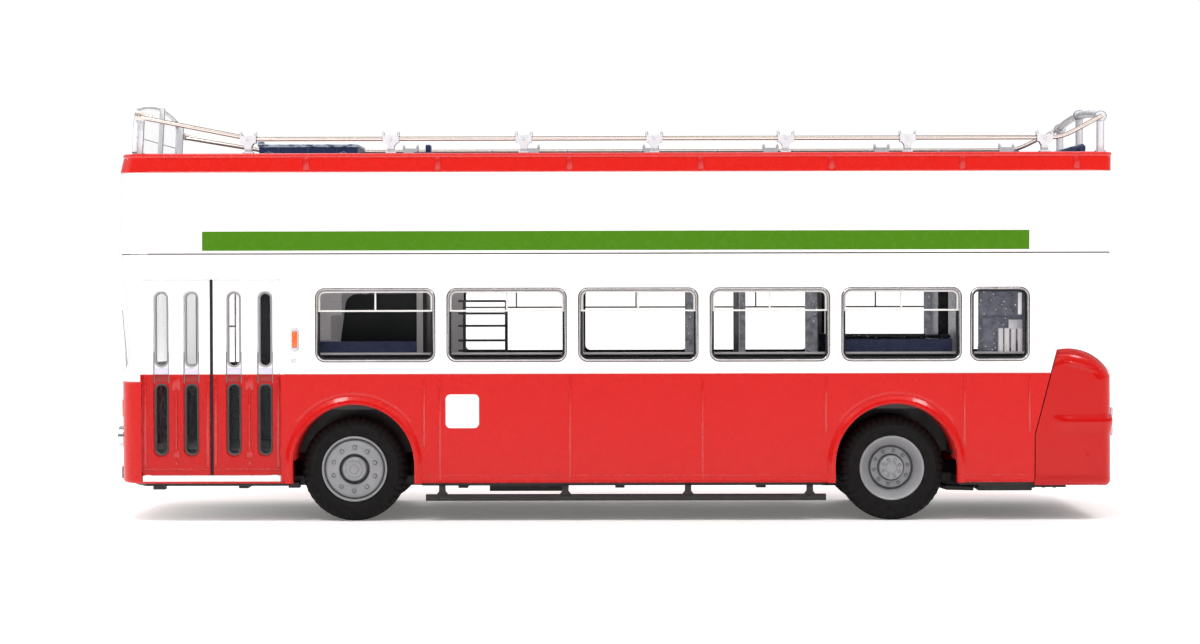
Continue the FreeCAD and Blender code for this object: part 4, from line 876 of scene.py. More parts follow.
# ------------------------------------------------------------------ entrance doors
p = Piece()
door = side(-1, 15.95)
for x0, x1, panes in ((-59.5, -51.0, (-57.15, -53.35)), (-50.6, -42.1, (-48.0, -44.05))):
    mid = sum(panes) / 2
    # leaf edges
    for a, b in ((x0 + 0.12, x0 + 0.5), (x1 - 0.5, x1 - 0.12)):
        bar(p, door, a, 6.9, b, 18.45, -0.02, 0.09, 0.07, 0.12, 0)
        bar(p, door, a, 18.75, b, 30.5, -0.02, 0.09, 0.07, 0.12, 1)
    # the broad strip between the two columns of panes, and the thin ridge down it
    bar(p, door, mid - 0.55, 16.6, mid + 0.55, 18.45, -0.02, 0.08, 0.06, 0.15, 0)
    bar(p, door, mid - 0.13, 9.1, mid + 0.13, 17.0, -0.02, 0.16, 0.1, 0.1, 0)
    bar(p, door, mid - 0.42, 8.1, mid + 0.42, 9.1, -0.02, 0.12, 0.08, 0.1, 0)
    bar(p, door, mid - 0.22, 7.15, mid + 0.22, 7.75, -0.02, 0.1, 0.06, 0.1, 0)
    bar(p, door, mid - 0.13, 19.0, mid + 0.13, 29.6, -0.02, 0.07, 0.06, 0.1, 1)
    dome(p, door, mid, 29.9, 0.3, 0.08, 20, 1)
    # kick plate line and top rail
    bar(p, door, x0 + 0.12, 6.55, x1 - 0.12, 6.8, -0.02, 0.08, 0.06, 0.1, 0)
    bar(p, door, x0 + 0.12, 30.25, x1 - 0.12, 30.48, -0.02, 0.07, 0.05, 0.1, 1)
    # cross pieces between the upper and the lower pane of a column, set back in the channel; their dark red and greyed
    # lilac are the two-tone paint darkened as painted shade of the recess
    for x in panes:
        bar(p, door, x - 0.9, 17.7, x + 0.9, 18.58, -0.29, -0.22, 0.03, 0.05, 2)
        bar(p, door, x - 0.9, 18.6, x + 0.9, 19.35, -0.29, -0.2, 0.03, 0.05, 3)
p.build("door_mouldings", ["doorred", "white", "darkred", "lilac"], slot="door_paint")
p = Piece()
for panes in ((-57.15, -53.35), (-48.0, -44.05)):
    for x in panes:
        for z0, z1 in ((8.4, 17.45), (19.5, 29.0)):
            frame_ring(p, door, lambda i: rrect(x - 0.86, z0, x + 0.86, z1, 0.84, i, 8),
                       [(-0.02, -0.29), (0.0, -0.2), (0.1, -0.17), (0.2, -0.26), (0.24, -0.45), (0.24, -0.72), (0.0, -0.72), (0.0, -0.29)], 0 if z0 < 18 else 1)
        for dx in (-0.93, 0.93):
            bar(p, door, x + dx - 0.045, 17.5, x + dx + 0.045, 21.4, -0.29, -0.15, 0.03, 0.03, 1)
p.build("door_pane_rubbers", ["hubdark", "doorseal"], slot="black_plastic")
# strips that close the joints round the door pairs; the top strip and the upper edges are white that glows as painted
# light
p = Piece()
bar(p, door, -59.62, 30.5, -41.98, 30.86, -0.55, -0.03, 0.04, 0.04, 0)
for x in (-59.56, -42.04):
    bar(p, door, x - 0.08, 18.6, x + 0.08, 30.6, -0.55, -0.04, 0.04, 0.04, 0)
    bar(p, door, x - 0.08, 6.2, x + 0.08, 18.6, -0.55, -0.04, 0.04, 0.04, 1)
p.build("door_joint_strips", ["lip", "doorred"], slot="body_paint")
# rubber edge where the two pairs meet
p = Piece()
for x, w in ((-50.8, 0.17), ):
    bar(p, side(-1, 15.95), x - w, 5.95, x + w, 30.62, -0.7, 0.02, 0.1, 0.1, 0)
p.build("door_edge_rubbers", ["rubber"], slot="black_plastic")
# tread strip and its end brackets on the step
p = Piece()
bar(p, side(-1, 16.3), -59.3, 5.2, -42.3, 5.78, -0.02, 0.06, 0.04, 0.1, 0)
for k in range(40):
    x = -58.9 + 0.42 * k
    bar(p, above(5.84), x - 0.06, -16.25, x + 0.06, -15.95, -0.02, 0.05, 0.03, 0.03, 0)
for x in (-58.75, -42.85):
    bar(p, side(-1, 16.3), x - 0.45, 5.25, x + 0.45, 5.95, 0.0, 0.14, 0.06, 0.12, 0)
p.build("step_tread_strip", ["white"], slot="white_plastic")

# ------------------------------------------------------------------ front of the bus
p = Piece()
# destination box frame round the blank blind of the destination panel
up = lambda a, b, h: (front_x(a, h) - nose(b), a, b)
frame_ring(p, up, dense(lambda i: rrect(-9.2, 35.6, 9.2, 41.2, 0.5, i, 6)), [(-0.25, -0.04), (-0.22, 0.1), (-0.05, 0.14), (0.1, 0.08), (0.14, -0.1), (0.14, -0.4), (0.02, -0.4), (0.02, -0.04)], 0)
p.build("destination_box_frame", ["rubber"], slot="black_plastic")
p = Piece()
# front panel relief: two vertical seams and blank grille slats
for y in (-10.8, 10.8):
    bar(p, front, y - 0.06, 7.2, y + 0.06, 17.3, -0.04, 0.04, 0.03, 0.04, 0)
p_mat = 0
for z in (12.4, 12.95, 13.5, 14.05):
    pts = [(-6.4 + 12.8 * k / 24) for k in range(25)]
    outer = [[front(y, z - 0.12, -0.04), front(y, z - 0.1, 0.07), front(y, z, 0.13), front(y, z + 0.1, 0.07), front(y, z + 0.12, -0.04)] for y in pts]
    p.loft(outer, closed=True, cap=(True, True), mat=0)
p.build("front_panel_relief", ["red"], slot="body_paint")
p = Piece()
for z in (12.68, 13.23, 13.78):
    outer = [[front(y, z - 0.13, -0.03), front(y, z - 0.13, 0.012), front(y, z + 0.13, 0.012), front(y, z + 0.13, -0.03)] for y in [(-6.3 + 12.6 * k / 24) for k in range(25)]]
    p.loft(outer, closed=True, cap=(True, True), mat=0)
p.build("front_grille_slots", ["sign"], slot="black_plastic")
# waist moulding round the front
p = Piece()
path = [(front_x(y), y) for y in [16.2 - 32.4 * k / 60 for k in range(61)]]
sweep_plan(p, path, [(-0.06, 17.5), (0.03, 17.52), (0.06, 17.6), (0.03, 17.67), (-0.06, 17.69)], mat=0)
p.build("front_waist_moulding", ["red"], slot="body_paint")
# headlamps: bezel, bowl and fluted lens; indicators outboard of them
p, q = Piece(), Piece()
for y in (-12.0, -9.3, 9.3, 12.0):
    surf = lambda a, b, h: (-63.1 - h, a, b)
    ring = lambda r: ngon(y, 10.6, r, 40)
    q.loft([put(surf, ring(1.02), 0.0), put(surf, ring(1.0), 0.04), put(surf, ring(0.75), 0.09), put(surf, ring(0.4), 0.12), put(surf, ring(0.12), 0.13)], cap=(False, True), mat=0)
    p.loft([put(surf, ring(1.34), -0.75), put(surf, ring(1.34), 0.0), put(surf, ring(1.28), 0.08), put(surf, ring(1.16), 0.1), put(surf, ring(1.05), 0.05), put(surf, ring(1.0), -0.02)], mat=0)
    for k in range(-4, 5):
        w = math.sqrt(max(0.0, 0.92 ** 2 - (k * 0.2) ** 2))
        bar(q, surf, y + k * 0.2 - 0.03, 10.6 - w, y + k * 0.2 + 0.03, 10.6 + w, 0.0, 0.14 - 0.0035 * k * k, 0.02, 0.02, 0)
p.build("headlamp_bezels", ["chrome"], slot="lamp_silver")
q.build("headlamp_lenses", ["post"], slot="lamp_silver")
p = Piece()
for y in (-13.55, 13.55):
    plate(p, front, lambda i: rrect(y - 0.38, 13.1, y + 0.38, 15.4, 0.3, i, 5), -0.05, 0.1, 0.08, 0)
    for z in (13.5, 13.9, 14.3, 14.7, 15.05):
        bar(p, front, y - 0.3, z - 0.04, y + 0.3, z + 0.04, 0.04, 0.13, 0.03, 0.03, 0)
p.build("front_indicators", ["amber"], slot="lamp_amber")
# bumper relief: rolled edges and blank number plate screws
p = Piece()
path = [(front_x(y, -0.28), y) for y in [12.8 - 25.6 * k / 60 for k in range(61)]]
sweep_plan(p, [(x - 0.18, y) for x, y in path], [(-0.1, 5.34), (0.07, 5.36), (0.11, 5.5), (0.05, 5.62), (-0.1, 5.64)], mat=0)
sweep_plan(p, [(x - 0.18, y) for x, y in path], [(-0.1, 6.46), (0.05, 6.48), (0.11, 6.6), (0.07, 6.74), (-0.1, 6.76)], mat=0)
for y in (-11.4, -5.6, 5.6, 11.4):
    dome(p, lambda a, b, h: (front_x(a, -0.1) - h, a, b), y, 6.05, 0.22, 0.18, 18, 0)
p.build("bumper_relief", ["black"], slot="black_plastic")
# plate surrounds
p = Piece()
frame_ring(p, lambda a, b, h: (-63.2 - h, a, b), lambda i: rrect(-3.05, 7.25, 3.05, 8.75, 0.12, i, 3), [(0, -0.16), (0, 0.02), (0.05, 0.05), (0.14, 0.05), (0.18, 0.0), (0.18, -0.05), (0.03, -0.16)], 0)
frame_ring(p, lambda a, b, h: (62.8 + h, a, b), lambda i: rrect(-3.05, 15.35, 3.05, 16.85, 0.12, i, 3), [(0, -0.16), (0, 0.02), (0.05, 0.05), (0.14, 0.05), (0.18, 0.0), (0.18, -0.05), (0.03, -0.16)], 0)
p.build("plate_surrounds", ["rubber"], slot="black_plastic")

# ------------------------------------------------------------------ engine cover
p = Piece()
cover = [(54.9 + 0.5 * k, -16.45) for k in range(12)] + arc(60.65, -14.55, 1.9, -90, 0, 10) + arc(60.65, 14.55, 1.9, 0, 90, 10) + [(60.4 - 0.5 * k, 16.45) for k in range(12)]
# one broad swage across both sides and the back, flat underneath
sweep_plan(p, cover, [(-0.2, 10.9), (0.02, 10.95), (0.08, 11.25), (0.17, 11.7), (0.25, 12.1), (0.28, 12.35), (0.26, 12.75), (0.2, 12.98), (0.09, 13.15), (0.03, 13.35), (-0.2, 13.4)], taper=3.0)
# shoulder moulding under the rounded top edge, and a lip that closes the joint above it
for s in (-1, 1):
    secs = []
    for k in range(17):
        t = k / 16
        x = 55.9 + 4.7 * t
        z = 19.95 - 0.25 * t - 0.95 * t * t
        fade = min(1.0, min(k, 16 - k) / 4)
        secs.append([side(s, 16.45)(x, z + dz, -0.06 + (h + 0.06) * fade) for dz, h in ((-0.62, -0.05), (-0.4, 0.03), (-0.1, 0.09), (0.12, 0.08), (0.26, -0.02), (0.34, -0.12))])
    p.loft(secs, closed=False)
p.build("cover_ridges", ["cover"], slot="cover_paint")
# white lip over the joint above the engine cover; it glows as painted light so that the joint reads bright, not dark
p = Piece()
for s in (-1, 1):
    secs = []
    for k in range(25):
        a = math.radians(25.4 + (101.6 - 25.4) * k / 24)
        secs.append([(56.85 + r * math.cos(a), s * y, 15.488 + r * math.sin(a)) for r, y in ((6.22, 14.9), (6.22, 16.3), (6.36, 16.34), (6.36, 14.9))])
    p.loft(secs, cap=(True, True))
p.build("cover_seat_lips", ["lip"], slot="body_paint")
# trim line and end clips on the entrance step
p = Piece()
co = [v.co for v in NODES["entrance_step"].data.vertices]
sx0, sx1 = min(c.x for c in co) * 1000, max(c.x for c in co) * 1000
sz0, sz1 = min(c.z for c in co) * 1000, max(c.z for c in co) * 1000
sy = min(c.y for c in co) * 1000
tread = lambda a, b, h: (a, sy - h, b)
bar(p, tread, sx0 + 0.05, sz1 - 0.09, sx1 - 0.05, sz1 - 0.02, -0.02, 0.03, 0.015, 0.02, 0)
for x in (sx0 + 0.7, sx1 - 0.7):
    bar(p, tread, x - 0.38, sz0 + 0.12, x + 0.38, sz1 - 0.12, -0.02, 0.06, 0.03, 0.08, 0)
    dome(p, tread, x, (sz0 + sz1) / 2, 0.13, 0.12, 14, 1)
p.build("entrance_step_trim", ["lilac", "post"], slot="white_plastic")
# louvres, catches and hinges on the back of the cover
p, q = Piece(), Piece()
back = rear(62.55)
for side_y in (-1, 1):
    for k in range(5):
        z = 5.9 + 0.72 * k
        y0, y1 = (3.6, 11.4) if side_y > 0 else (-11.4, -3.6)
        secs = []
        for j in range(13):
            y = y0 + (y1 - y0) * j / 12
            e = 1.0 if 0 < j < 12 else 0.0
            secs.append([back(y, z - 0.02, -0.05), back(y, z + 0.03, 0.2 * e), back(y, z + 0.1, 0.22 * e), back(y, z + 0.42, -0.05)])
        p.loft(secs, closed=True, cap=(True, True), mat=0)
        bar(q, back, y0 + 0.2, z - 0.14, y1 - 0.2, z + 0.0, -0.03, 0.015, 0.01, 0.04, 0)
p.build("cover_louvres", ["cover"], slot="cover_paint")
q.build("cover_louvre_slots", ["sign"], slot="black_plastic")
p = Piece()
for y in (-9.5, 9.5):
    bar(p, back, y - 0.75, 15.9, y + 0.75, 16.3, -0.04, 0.2, 0.1, 0.15, 0)
for y in (-12.4, 12.4):
    dome(p, back, y, 15.0, 0.3, 0.14, 18, 0)
for s in (-1, 1):
    dome(p, side(s, 16.45), 59.3, 8.2, 0.3, 0.08, 18, 0)
p.build("cover_catches", ["cover"], slot="cover_paint")
# rear lamp clusters
p, q, r_ = Piece(), Piece(), Piece()
for y in (-13.4, 13.4):
    bar(r_, rear(62.55), y - 0.72, 10.5, y + 0.72, 14.2, -0.05, 0.14, 0.08, 0.3, 0)
    for z0, z1 in ((13.0, 14.15), (10.55, 11.65)):
        frame_ring(q, rear(62.55), lambda i: rrect(y - 0.68, z0, y + 0.68, z1, 0.32, i, 5), [(0, -0.05), (0, 0.28), (0.04, 0.38), (0.1, 0.42), (0.16, 0.36), (0.16, -0.05)], 0)
        plate(p, rear(62.55), lambda i: rrect(y - 0.5, z0 + 0.18, y + 0.5, z1 - 0.18, 0.2, i, 4), 0.1, 0.44, 0.12, 0)
        for k in (-1, 0, 1):
            bar(p, rear(62.55), y + 0.28 * k - 0.03, z0 + 0.28, y + 0.28 * k + 0.03, z1 - 0.28, 0.4, 0.48, 0.02, 0.02, 0)
p.build("rear_lamp_lenses", ["redlens"], slot="lamp_red", stands_for=("rear_lamps",))
r_.build("rear_lamp_plinths", ["cover"], slot="cover_paint")
q.build("rear_lamp_rims", ["bracket"], slot="white_plastic")

# ------------------------------------------------------------------ offside relief: emergency door and fuel flap
p = Piece()
surf = side(1)
frame_ring(p, surf, lambda i: rrect(-4.9, 6.3, 10.6, 31.6, 0.9, i, 6), [(0, -0.02), (0.02, 0.045), (0.1, 0.06), (0.18, 0.045), (0.2, -0.02)], 0)
for z in (8.2, 17.4, 30.6):
    bar(p, surf, -5.25, z - 0.45, -4.65, z + 0.45, -0.02, 0.16, 0.1, 0.12, 0)
p.build("emergency_door_outline", ["lower"], slot="body_paint")
p = Piece()
bar(p, surf, 8.1, 17.0, 9.7, 17.4, 0.0, 0.3, 0.14, 0.15, 0)
dome(p, surf, 9.3, 17.2, 0.3, 0.36, 18, 0)
p.build("emergency_door_handle", ["chrome"], slot="lamp_silver")
p = Piece()
plate(p, surf, lambda i: rrect(-18.6, 6.6, -14.6, 10.2, 0.3, i, 4), -0.03, 0.06, 0.05, 0)
dome(p, surf, -15.1, 8.4, 0.22, 0.14, 14, 0)
plate(p, surf, lambda i: rrect(14.2, 6.6, 22.4, 11.0, 0.3, i, 4), -0.03, 0.06, 0.05, 0)
for x in (15.4, 21.2):
    dome(p, surf, x, 10.5, 0.22, 0.14, 14, 0)
p.build("offside_hatches", ["red"], slot="body_paint")

# ------------------------------------------------------------------ tyres
def tyre(p, ax, s, R, profile, teeth, mat=0, twin=None):
    """profile is (radius, out, kind); kind 1 points drop back between the shoulder blocks."""
    n = teeth * 6
    loops = []
    for r, o, kind in profile:
        lp = []
        for k in range(n):
            a = 2 * math.pi * k / n
            step = k % 6
            rr, oo = r, o
            if kind and step in (4, 5):
                rr = r - 0.2 * kind
            elif kind and step in (0, 3):
                rr = r - 0.03 * kind
            lp.append((ax + rr * math.cos(a), s * oo, 6.6 + rr * math.sin(a)))
        loops.append(lp)
    p.loft(loops, mat=mat)


def tyre_profile(R, rim, o, i, wide):
    """From the outer bead over the tread to the inner bead. o and i are the outer and inner faces."""
    m = (o + i) / 2
    pts = [(rim, o - 0.5, 0), (rim + 0.02, o - 0.3, 0), (rim + 0.18, o - 0.16, 0), (rim + 0.3, o - 0.15, 0), (rim + 0.42, o - 0.1, 0), (rim + 0.6, o - 0.03, 0),
           (rim + 0.95, o, 0), (R - 1.22, o - 0.02, 0), (R - 1.16, o + 0.0, 0), (R - 1.08, o - 0.01, 0), (R - 1.02, o - 0.06, 0),
           (R - 0.85, o - 0.1, 0.5), (R - 0.55, o - 0.22, 1), (R - 0.3, o - 0.4, 1), (R - 0.12, o - 0.62, 1), (R - 0.02, o - 0.82, 1), (R, o - 0.98, 1), (R - 0.01, o - 1.15, 0.4)]
    half = m
    tread = []
    w = (o - 1.15) - (i + 1.15)
    k = 4
    for j in range(k):
        a = o - 1.15 - w * (j + 0.18) / k
        b = o - 1.15 - w * (j + 0.42) / k
        tread += [(R - 0.01, a + w * 0.1 / k, 0), (R - 0.16, a, 0), (R - 0.16, b, 0), (R - 0.01, b - w * 0.1 / k, 0)]
    inner = [(R - 0.01, i + 1.15, 0.4), (R, i + 0.98, 1), (R - 0.02, i + 0.82, 1), (R - 0.12, i + 0.62, 1), (R - 0.3, i + 0.4, 1), (R - 0.55, i + 0.22, 1), (R - 0.85, i + 0.1, 0.5),
             (R - 1.05, i + 0.04, 0), (rim + 0.9, i, 0), (rim + 0.45, i + 0.08, 0), (rim + 0.1, i + 0.2, 0), (rim, i + 0.4, 0)]
    return pts + tread + inner


p = Piece()
for s in (-1, 1):
    tyre(p, -32.9, s, 6.6, tyre_profile(6.6, 4.13, 15.5, 11.85, 3.6), 46)
p.build("front_tyres_treaded", ["tyre"], body=FRONT, slot="tyre_rubber", stands_for=("front_tyres",), angle=38)
p = Piece()
for s in (-1, 1):
    tyre(p, 34.9, s, 6.6, tyre_profile(6.6, 4.08, 15.4, 12.15, 3.2), 46)
    tyre(p, 34.9, s, 6.6, tyre_profile(6.6, 4.08, 11.85, 8.6, 3.2), 46)
p.build("rear_tyres_treaded", ["tyre"], body=REAR, slot="tyre_rubber", stands_for=("rear_tyres",), angle=38)

# ------------------------------------------------------------------ hubs
def hub_nuts(p, ax, s, r, count, size, out, high, sides=6, turn0=0.0, mat=0, ring=None):
    surf = lambda a, b, h: (ax + a, s * (out + h), 6.6 + b)
    for k in range(count):
        t = 2 * math.pi * k / count + turn0
        a, b = r * math.cos(t), r * math.sin(t)
        if ring:
            frame_ring(p, surf, lambda i: ngon(a, b, size * 1.5 - i, 14), [(0, -0.05), (0, 0.03), (size * 0.2, 0.05), (size * 0.35, 0.0), (size * 0.35, -0.05)], ring)
        shape = lambda k2: ngon(a, b, size * k2, sides, t)
        p.loft([put(surf, shape(1), -0.05), put(surf, shape(1), high * 0.6), put(surf, shape(0.8), high * 0.75), put(surf, shape(0.55), high * 0.8), put(surf, shape(0.5), high), put(surf, shape(0.25), high * 1.02)], cap=(False, True), mat=mat)


# the second look paints shade into the grooves, the rings round the nuts and the back face
p = Piece()
for s in (-1, 1):
    turn(p, -32.9, s, [(4.13, 12.1), (4.14, 15.2), (4.12, 15.34), (4.05, 15.4), (3.95, 15.4), (3.88, 15.33), (3.85, 15.2), (3.82, 15.0)], mat=0)
    turn(p, -32.9, s, [(3.82, 15.0), (3.7, 14.95), (3.66, 15.02)], mat=1)
    turn(p, -32.9, s, [(3.66, 15.02), (3.58, 15.13), (3.45, 15.2), (3.1, 15.27), (2.6, 15.33), (2.15, 15.36), (1.98, 15.34), (1.9, 15.26)], mat=0)
    turn(p, -32.9, s, [(1.9, 15.26), (1.84, 15.0), (1.74, 14.86), (1.62, 14.86), (1.56, 14.95)], mat=1)
    turn(p, -32.9, s, [(1.56, 14.95), (1.5, 15.55), (1.44, 15.68), (1.32, 15.74), (1.1, 15.76), (1.04, 15.72), (1.0, 15.78), (0.62, 15.84), (0.56, 15.8), (0.5, 15.86), (0.2, 15.92), (0, 15.93)], mat=0)
    hub_nuts(p, -32.9, s, 2.72, 10, 0.2, 15.3, 0.34, 6, 0.3, 0, 1)
    hub_nuts(p, -32.9, s, 1.27, 8, 0.1, 15.74, 0.09, 8, 0.2)
    turn(p, -32.9, s, [(4.13, 12.1), (1.4, 12.1), (0.78, 12.1)], mat=1)
p.build("front_hubs_detailed", ["hub", "hubdark"], body=FRONT, slot="wheel_plastic", stands_for=("front_hubs",))
# the second look paints shade into the grooves, the rings round the nuts and the back face
p = Piece()
for s in (-1, 1):
    turn(p, 34.9, s, [(4.08, 8.8), (4.09, 15.0), (4.07, 15.16), (4.0, 15.22), (3.9, 15.22), (3.8, 15.15), (3.7, 15.04), (3.4, 14.66), (3.1, 14.2), (2.9, 13.82), (2.82, 13.66)], mat=0)
    turn(p, 34.9, s, [(2.82, 13.66), (2.72, 13.52), (2.62, 13.5), (2.56, 13.53)], mat=1)
    turn(p, 34.9, s, [(2.56, 13.53), (2.5, 13.6), (2.3, 13.62), (1.8, 13.62), (1.7, 13.6)], mat=0)
    turn(p, 34.9, s, [(1.7, 13.6), (1.62, 13.52), (1.55, 13.54)], mat=1)
    turn(p, 34.9, s, [(1.55, 13.54), (1.53, 14.4), (1.48, 14.56), (1.38, 14.64), (0.78, 14.66), (0.72, 14.58), (0.66, 14.66), (0.3, 14.74), (0, 14.76)], mat=0)
    hub_nuts(p, 34.9, s, 2.16, 10, 0.15, 13.62, 0.24, 6, 0.15, 0, 1)
    hub_nuts(p, 34.9, s, 1.08, 8, 0.14, 14.64, 0.13, 10, 0.35, 0, 1)
    turn(p, 34.9, s, [(4.08, 8.8), (1.4, 8.8), (0.78, 8.8)], mat=1)
p.build("rear_hubs_detailed", ["hub", "hubdark"], body=REAR, slot="wheel_plastic", stands_for=("rear_hubs",))

# ------------------------------------------------------------------ seats
def seat(p, x, floor, cushion, top, y0, y1, places=2, mat=0, trim=1):
    """One moulded seat: back, cushion and pedestal in one, with a pad for each place."""
    outline = [(x + 0.5, top - 0.05), (x - 0.4, top), (x - 1.15, cushion + 0.15), (x - 5.55, cushion + 0.3), (x - 5.75, cushion - 0.95),
               (x - 4.15, cushion - 1.2), (x - 4.1, floor), (x - 2.0, floor), (x - 1.95, cushion - 1.4), (x - 0.3, cushion - 1.4)]
    extrude_y(p, rounded(outline, [0.35, 0.35, 0.3, 0.5, 0.4, 0.2, 0.05, 0.05, 0.2, 0.4], 3), y0, y1, 0.22, mat)
    w = (y1 - y0) / places
    lean = (0.75) / (top - cushion)
    for k in range(places):
        a, b = y0 + w * k + 0.25, y0 + w * (k + 1) - 0.25
        # cushion pad with two cross channels
        for c0, c1 in ((-5.35, -3.95), (-3.8, -2.55), (-2.4, -1.35)):
            pad_poly = [(x + c0, cushion + 0.05), (x + c1, cushion + 0.05), (x + c1, cushion + 0.42), (x + c0, cushion + 0.48)]
            extrude_y(p, rounded(pad_poly, 0.16, 3), a, b, 0.18, mat)
        # back pad
        h0, h1 = cushion + 0.75, top - 0.55
        n = 3
        for j in range(n):
            z0 = h0 + (h1 - h0) * j / n + 0.06
            z1 = h0 + (h1 - h0) * (j + 1) / n - 0.06
            f = lambda z: x - 0.42 - (top - z) * lean
            pad_poly = [(f(z0) + 0.1, z0), (f(z1) + 0.1, z1), (f(z1) - 0.14, z1 - 0.04), (f(z0) - 0.14, z0 + 0.04)]
            extrude_y(p, rounded(pad_poly, 0.1, 2), a, b, 0.14, mat)
    # grab bar along the top and a ledge on the back
    tube(p, [(x + 0.15, y0 + 0.35, top - 0.55), (x + 0.15, y0 + 0.35, top - 0.02), (x + 0.12, y0 + 0.7, top + 0.0), (x + 0.12, y1 - 0.7, top + 0.0), (x + 0.15, y1 - 0.35, top - 0.02), (x + 0.15, y1 - 0.35, top - 0.55)], 0.13, 8, trim)
    bar(p, lambda a_, b_, h: (x + 0.12 - (top - b_) * 0.045 + h, a_, b_), y0 + 0.6, cushion + 0.4, y1 - 0.6, top - 1.1, 0.2, 0.42, 0.1, 0.25, mat)


FLOOR = 35.52
p = Piece()
for k in range(11):
    seat(p, -43.9 + 9.46 * k, FLOOR, 40.85, 46.62, -14.6, -4.6)
p.build("upper_seats_nearside_moulded", ["blue", "blue"], slot="blue_plastic", stands_for=("upper_seats_nearside",))
p = Piece()
for k in range(9):
    seat(p, -24.98 + 9.46 * k, FLOOR, 40.85, 46.62, 4.6, 14.6)
rbox(p, -25.45, -24.45, 4.7, 7.5, 46.5, 47.5, 0.2)
rbox(p, -25.3, -24.62, 4.85, 7.3, 47.2, 48.5, 0.18)
p.build("upper_seats_offside_moulded", ["blue", "blue"], slot="blue_plastic", stands_for=("upper_seats_offside",))
p = Piece()
seat(p, 58.95, FLOOR, 40.85, 47.35, -14.5, 14.5, 5)
for y0, y1 in ((-14.55, -13.9), (13.9, 14.55)):
    extrude_y(p, rounded([(53.6, 44.6), (58.4, 44.6), (58.4, 47.2), (57.6, 47.1), (54.0, 45.9)], 0.3, 3), y0, y1, 0.2)
p.build("upper_rear_bench_moulded", ["blue", "blue"], slot="blue_plastic", stands_for=("upper_rear_bench",))
p = Piece()
for k in range(4):
    for y0, y1 in ((-14.1, -4.6), (4.6, 14.1)):
        seat(p, -13.5 + 9.46 * k, 9.12, 14.6, 19.75, y0, y1)
p.build("saloon_seats_moulded", ["blue", "blue"], slot="blue_plastic", stands_for=("saloon_seats",))
p = Piece()
seat(p, 50.6, 9.12, 17.5, 22.45, -14.2, 14.2, 5)
p.build("lower_rear_bench_moulded", ["blue", "blue"], slot="blue_plastic", stands_for=("lower_rear_bench",))
p = Piece()
seat(p, -48.4, 9.12, 14.0, 20.35, 6.2, 12.2, 1)
p.build("drivers_seat_moulded", ["dark", "dark"], slot="blue_plastic", stands_for=("drivers_seat",))

# stair cover: pale worn cap along its top edge
p = Piece()
secs = []
outer = [(-47.68, 14.72), (-47.68, 4.92), (-34.32, 4.92), (-34.32, 14.72)]
inner = [(-46.82, 14.72), (-46.82, 5.78), (-35.18, 5.78), (-35.18, 14.72)]
for (ox, oy), (ix, iy) in zip(outer, inner):
    secs.append([(ox, oy, 48.2), (ox, oy, 48.5), (ox * 0.85 + ix * 0.15, oy * 0.85 + iy * 0.15, 48.6), (ox * 0.15 + ix * 0.85, oy * 0.15 + iy * 0.85, 48.6), (ix, iy, 48.5), (ix, iy, 48.2)])
p.loft(secs, cap=(True, True), mat=0)
rbox(p, -47.8, -46.9, 4.8, 5.9, 48.3, 48.95, 0.2)
for x in (-44.9, -41.0, -37.1):
    bar(p, lambda a, b, h: (a, 4.98 - h, b), x - 0.16, 35.8, x + 0.16, 48.1, -0.02, 0.12, 0.07, 0.1, 1)
p.build("stair_cover_cap", ["worn", "blue"], slot="blue_plastic")

# ------------------------------------------------------------------ upper deck rails
# flattened rail ends wrapped round the windscreen's corners
p = Piece()
for s in (-1, 1):
    secs = []
    run = [(-60.3, 0.62, 1.2, 51.25), (-60.0, 0.64, 1.25, 51.22), (-59.5, 0.62, 1.1, 51.1), (-59.0, 0.6, 0.85, 50.98), (-58.5, 0.58, 0.66, 50.95), (-58.1, 0.57, 0.58, 50.92)]
    if s > 0:
        run = [(x + 0.4, wide, tall * 0.85, z - 0.95) for x, wide, tall, z in run]
    for x, wide, tall, z in run:
        sec = []
        for k in range(14):
            a = 2 * math.pi * k / 14
            c, sn = math.cos(a), math.sin(a)
            sec.append((x, s * (15.68 + 0.5 * wide * 0.55 * c), z + 0.5 * tall * math.copysign(abs(sn) ** 0.8, sn)))
        secs.append(sec)
    p.loft(secs, cap=(True, True), mat=0)
    # pinch rivet
    dome(p, lambda a, b, h: (a, s * (15.84 + h), b), -59.8 if s < 0 else -59.4, 51.18 if s < 0 else 50.2, 0.2, 0.14, 14, 0)
p.build("rail_end_ferrules", ["rail"], slot="rail_metal")
# elbows on the rear posts and collars at their feet
p = Piece()
for y in (-14.6, 0.0, 14.6):
    top = 51.0 if y else 52.0
    surf = above(0)
    for z0, z1, r in ((46.36, 46.62, 0.72), ):
        p.loft([[(61.2 + rr * math.cos(2 * math.pi * k / 24), y + rr * math.sin(2 * math.pi * k / 24), z) for k in range(24)] for rr, z in ((r, z0), (r, z1 - 0.06), (r - 0.08, z1), (0.46, z1 + 0.02))], mat=0)
    # a cap ball where the post meets the rail
    loops = []
    for k in range(1, 10):
        a = math.radians(-90 + 20 * k)
        loops.append([(61.2 + 0.82 * math.cos(a) * math.cos(t), y * 0.999 + 0.82 * math.cos(a) * math.sin(t), top - 0.1 + 0.76 * math.sin(a)) for t in [2 * math.pi * j / 24 for j in range(24)]])
    p.loft(loops, cap=(True, True), mat=0)
p.build("rear_post_elbows", ["post"], slot="rail_plastic")
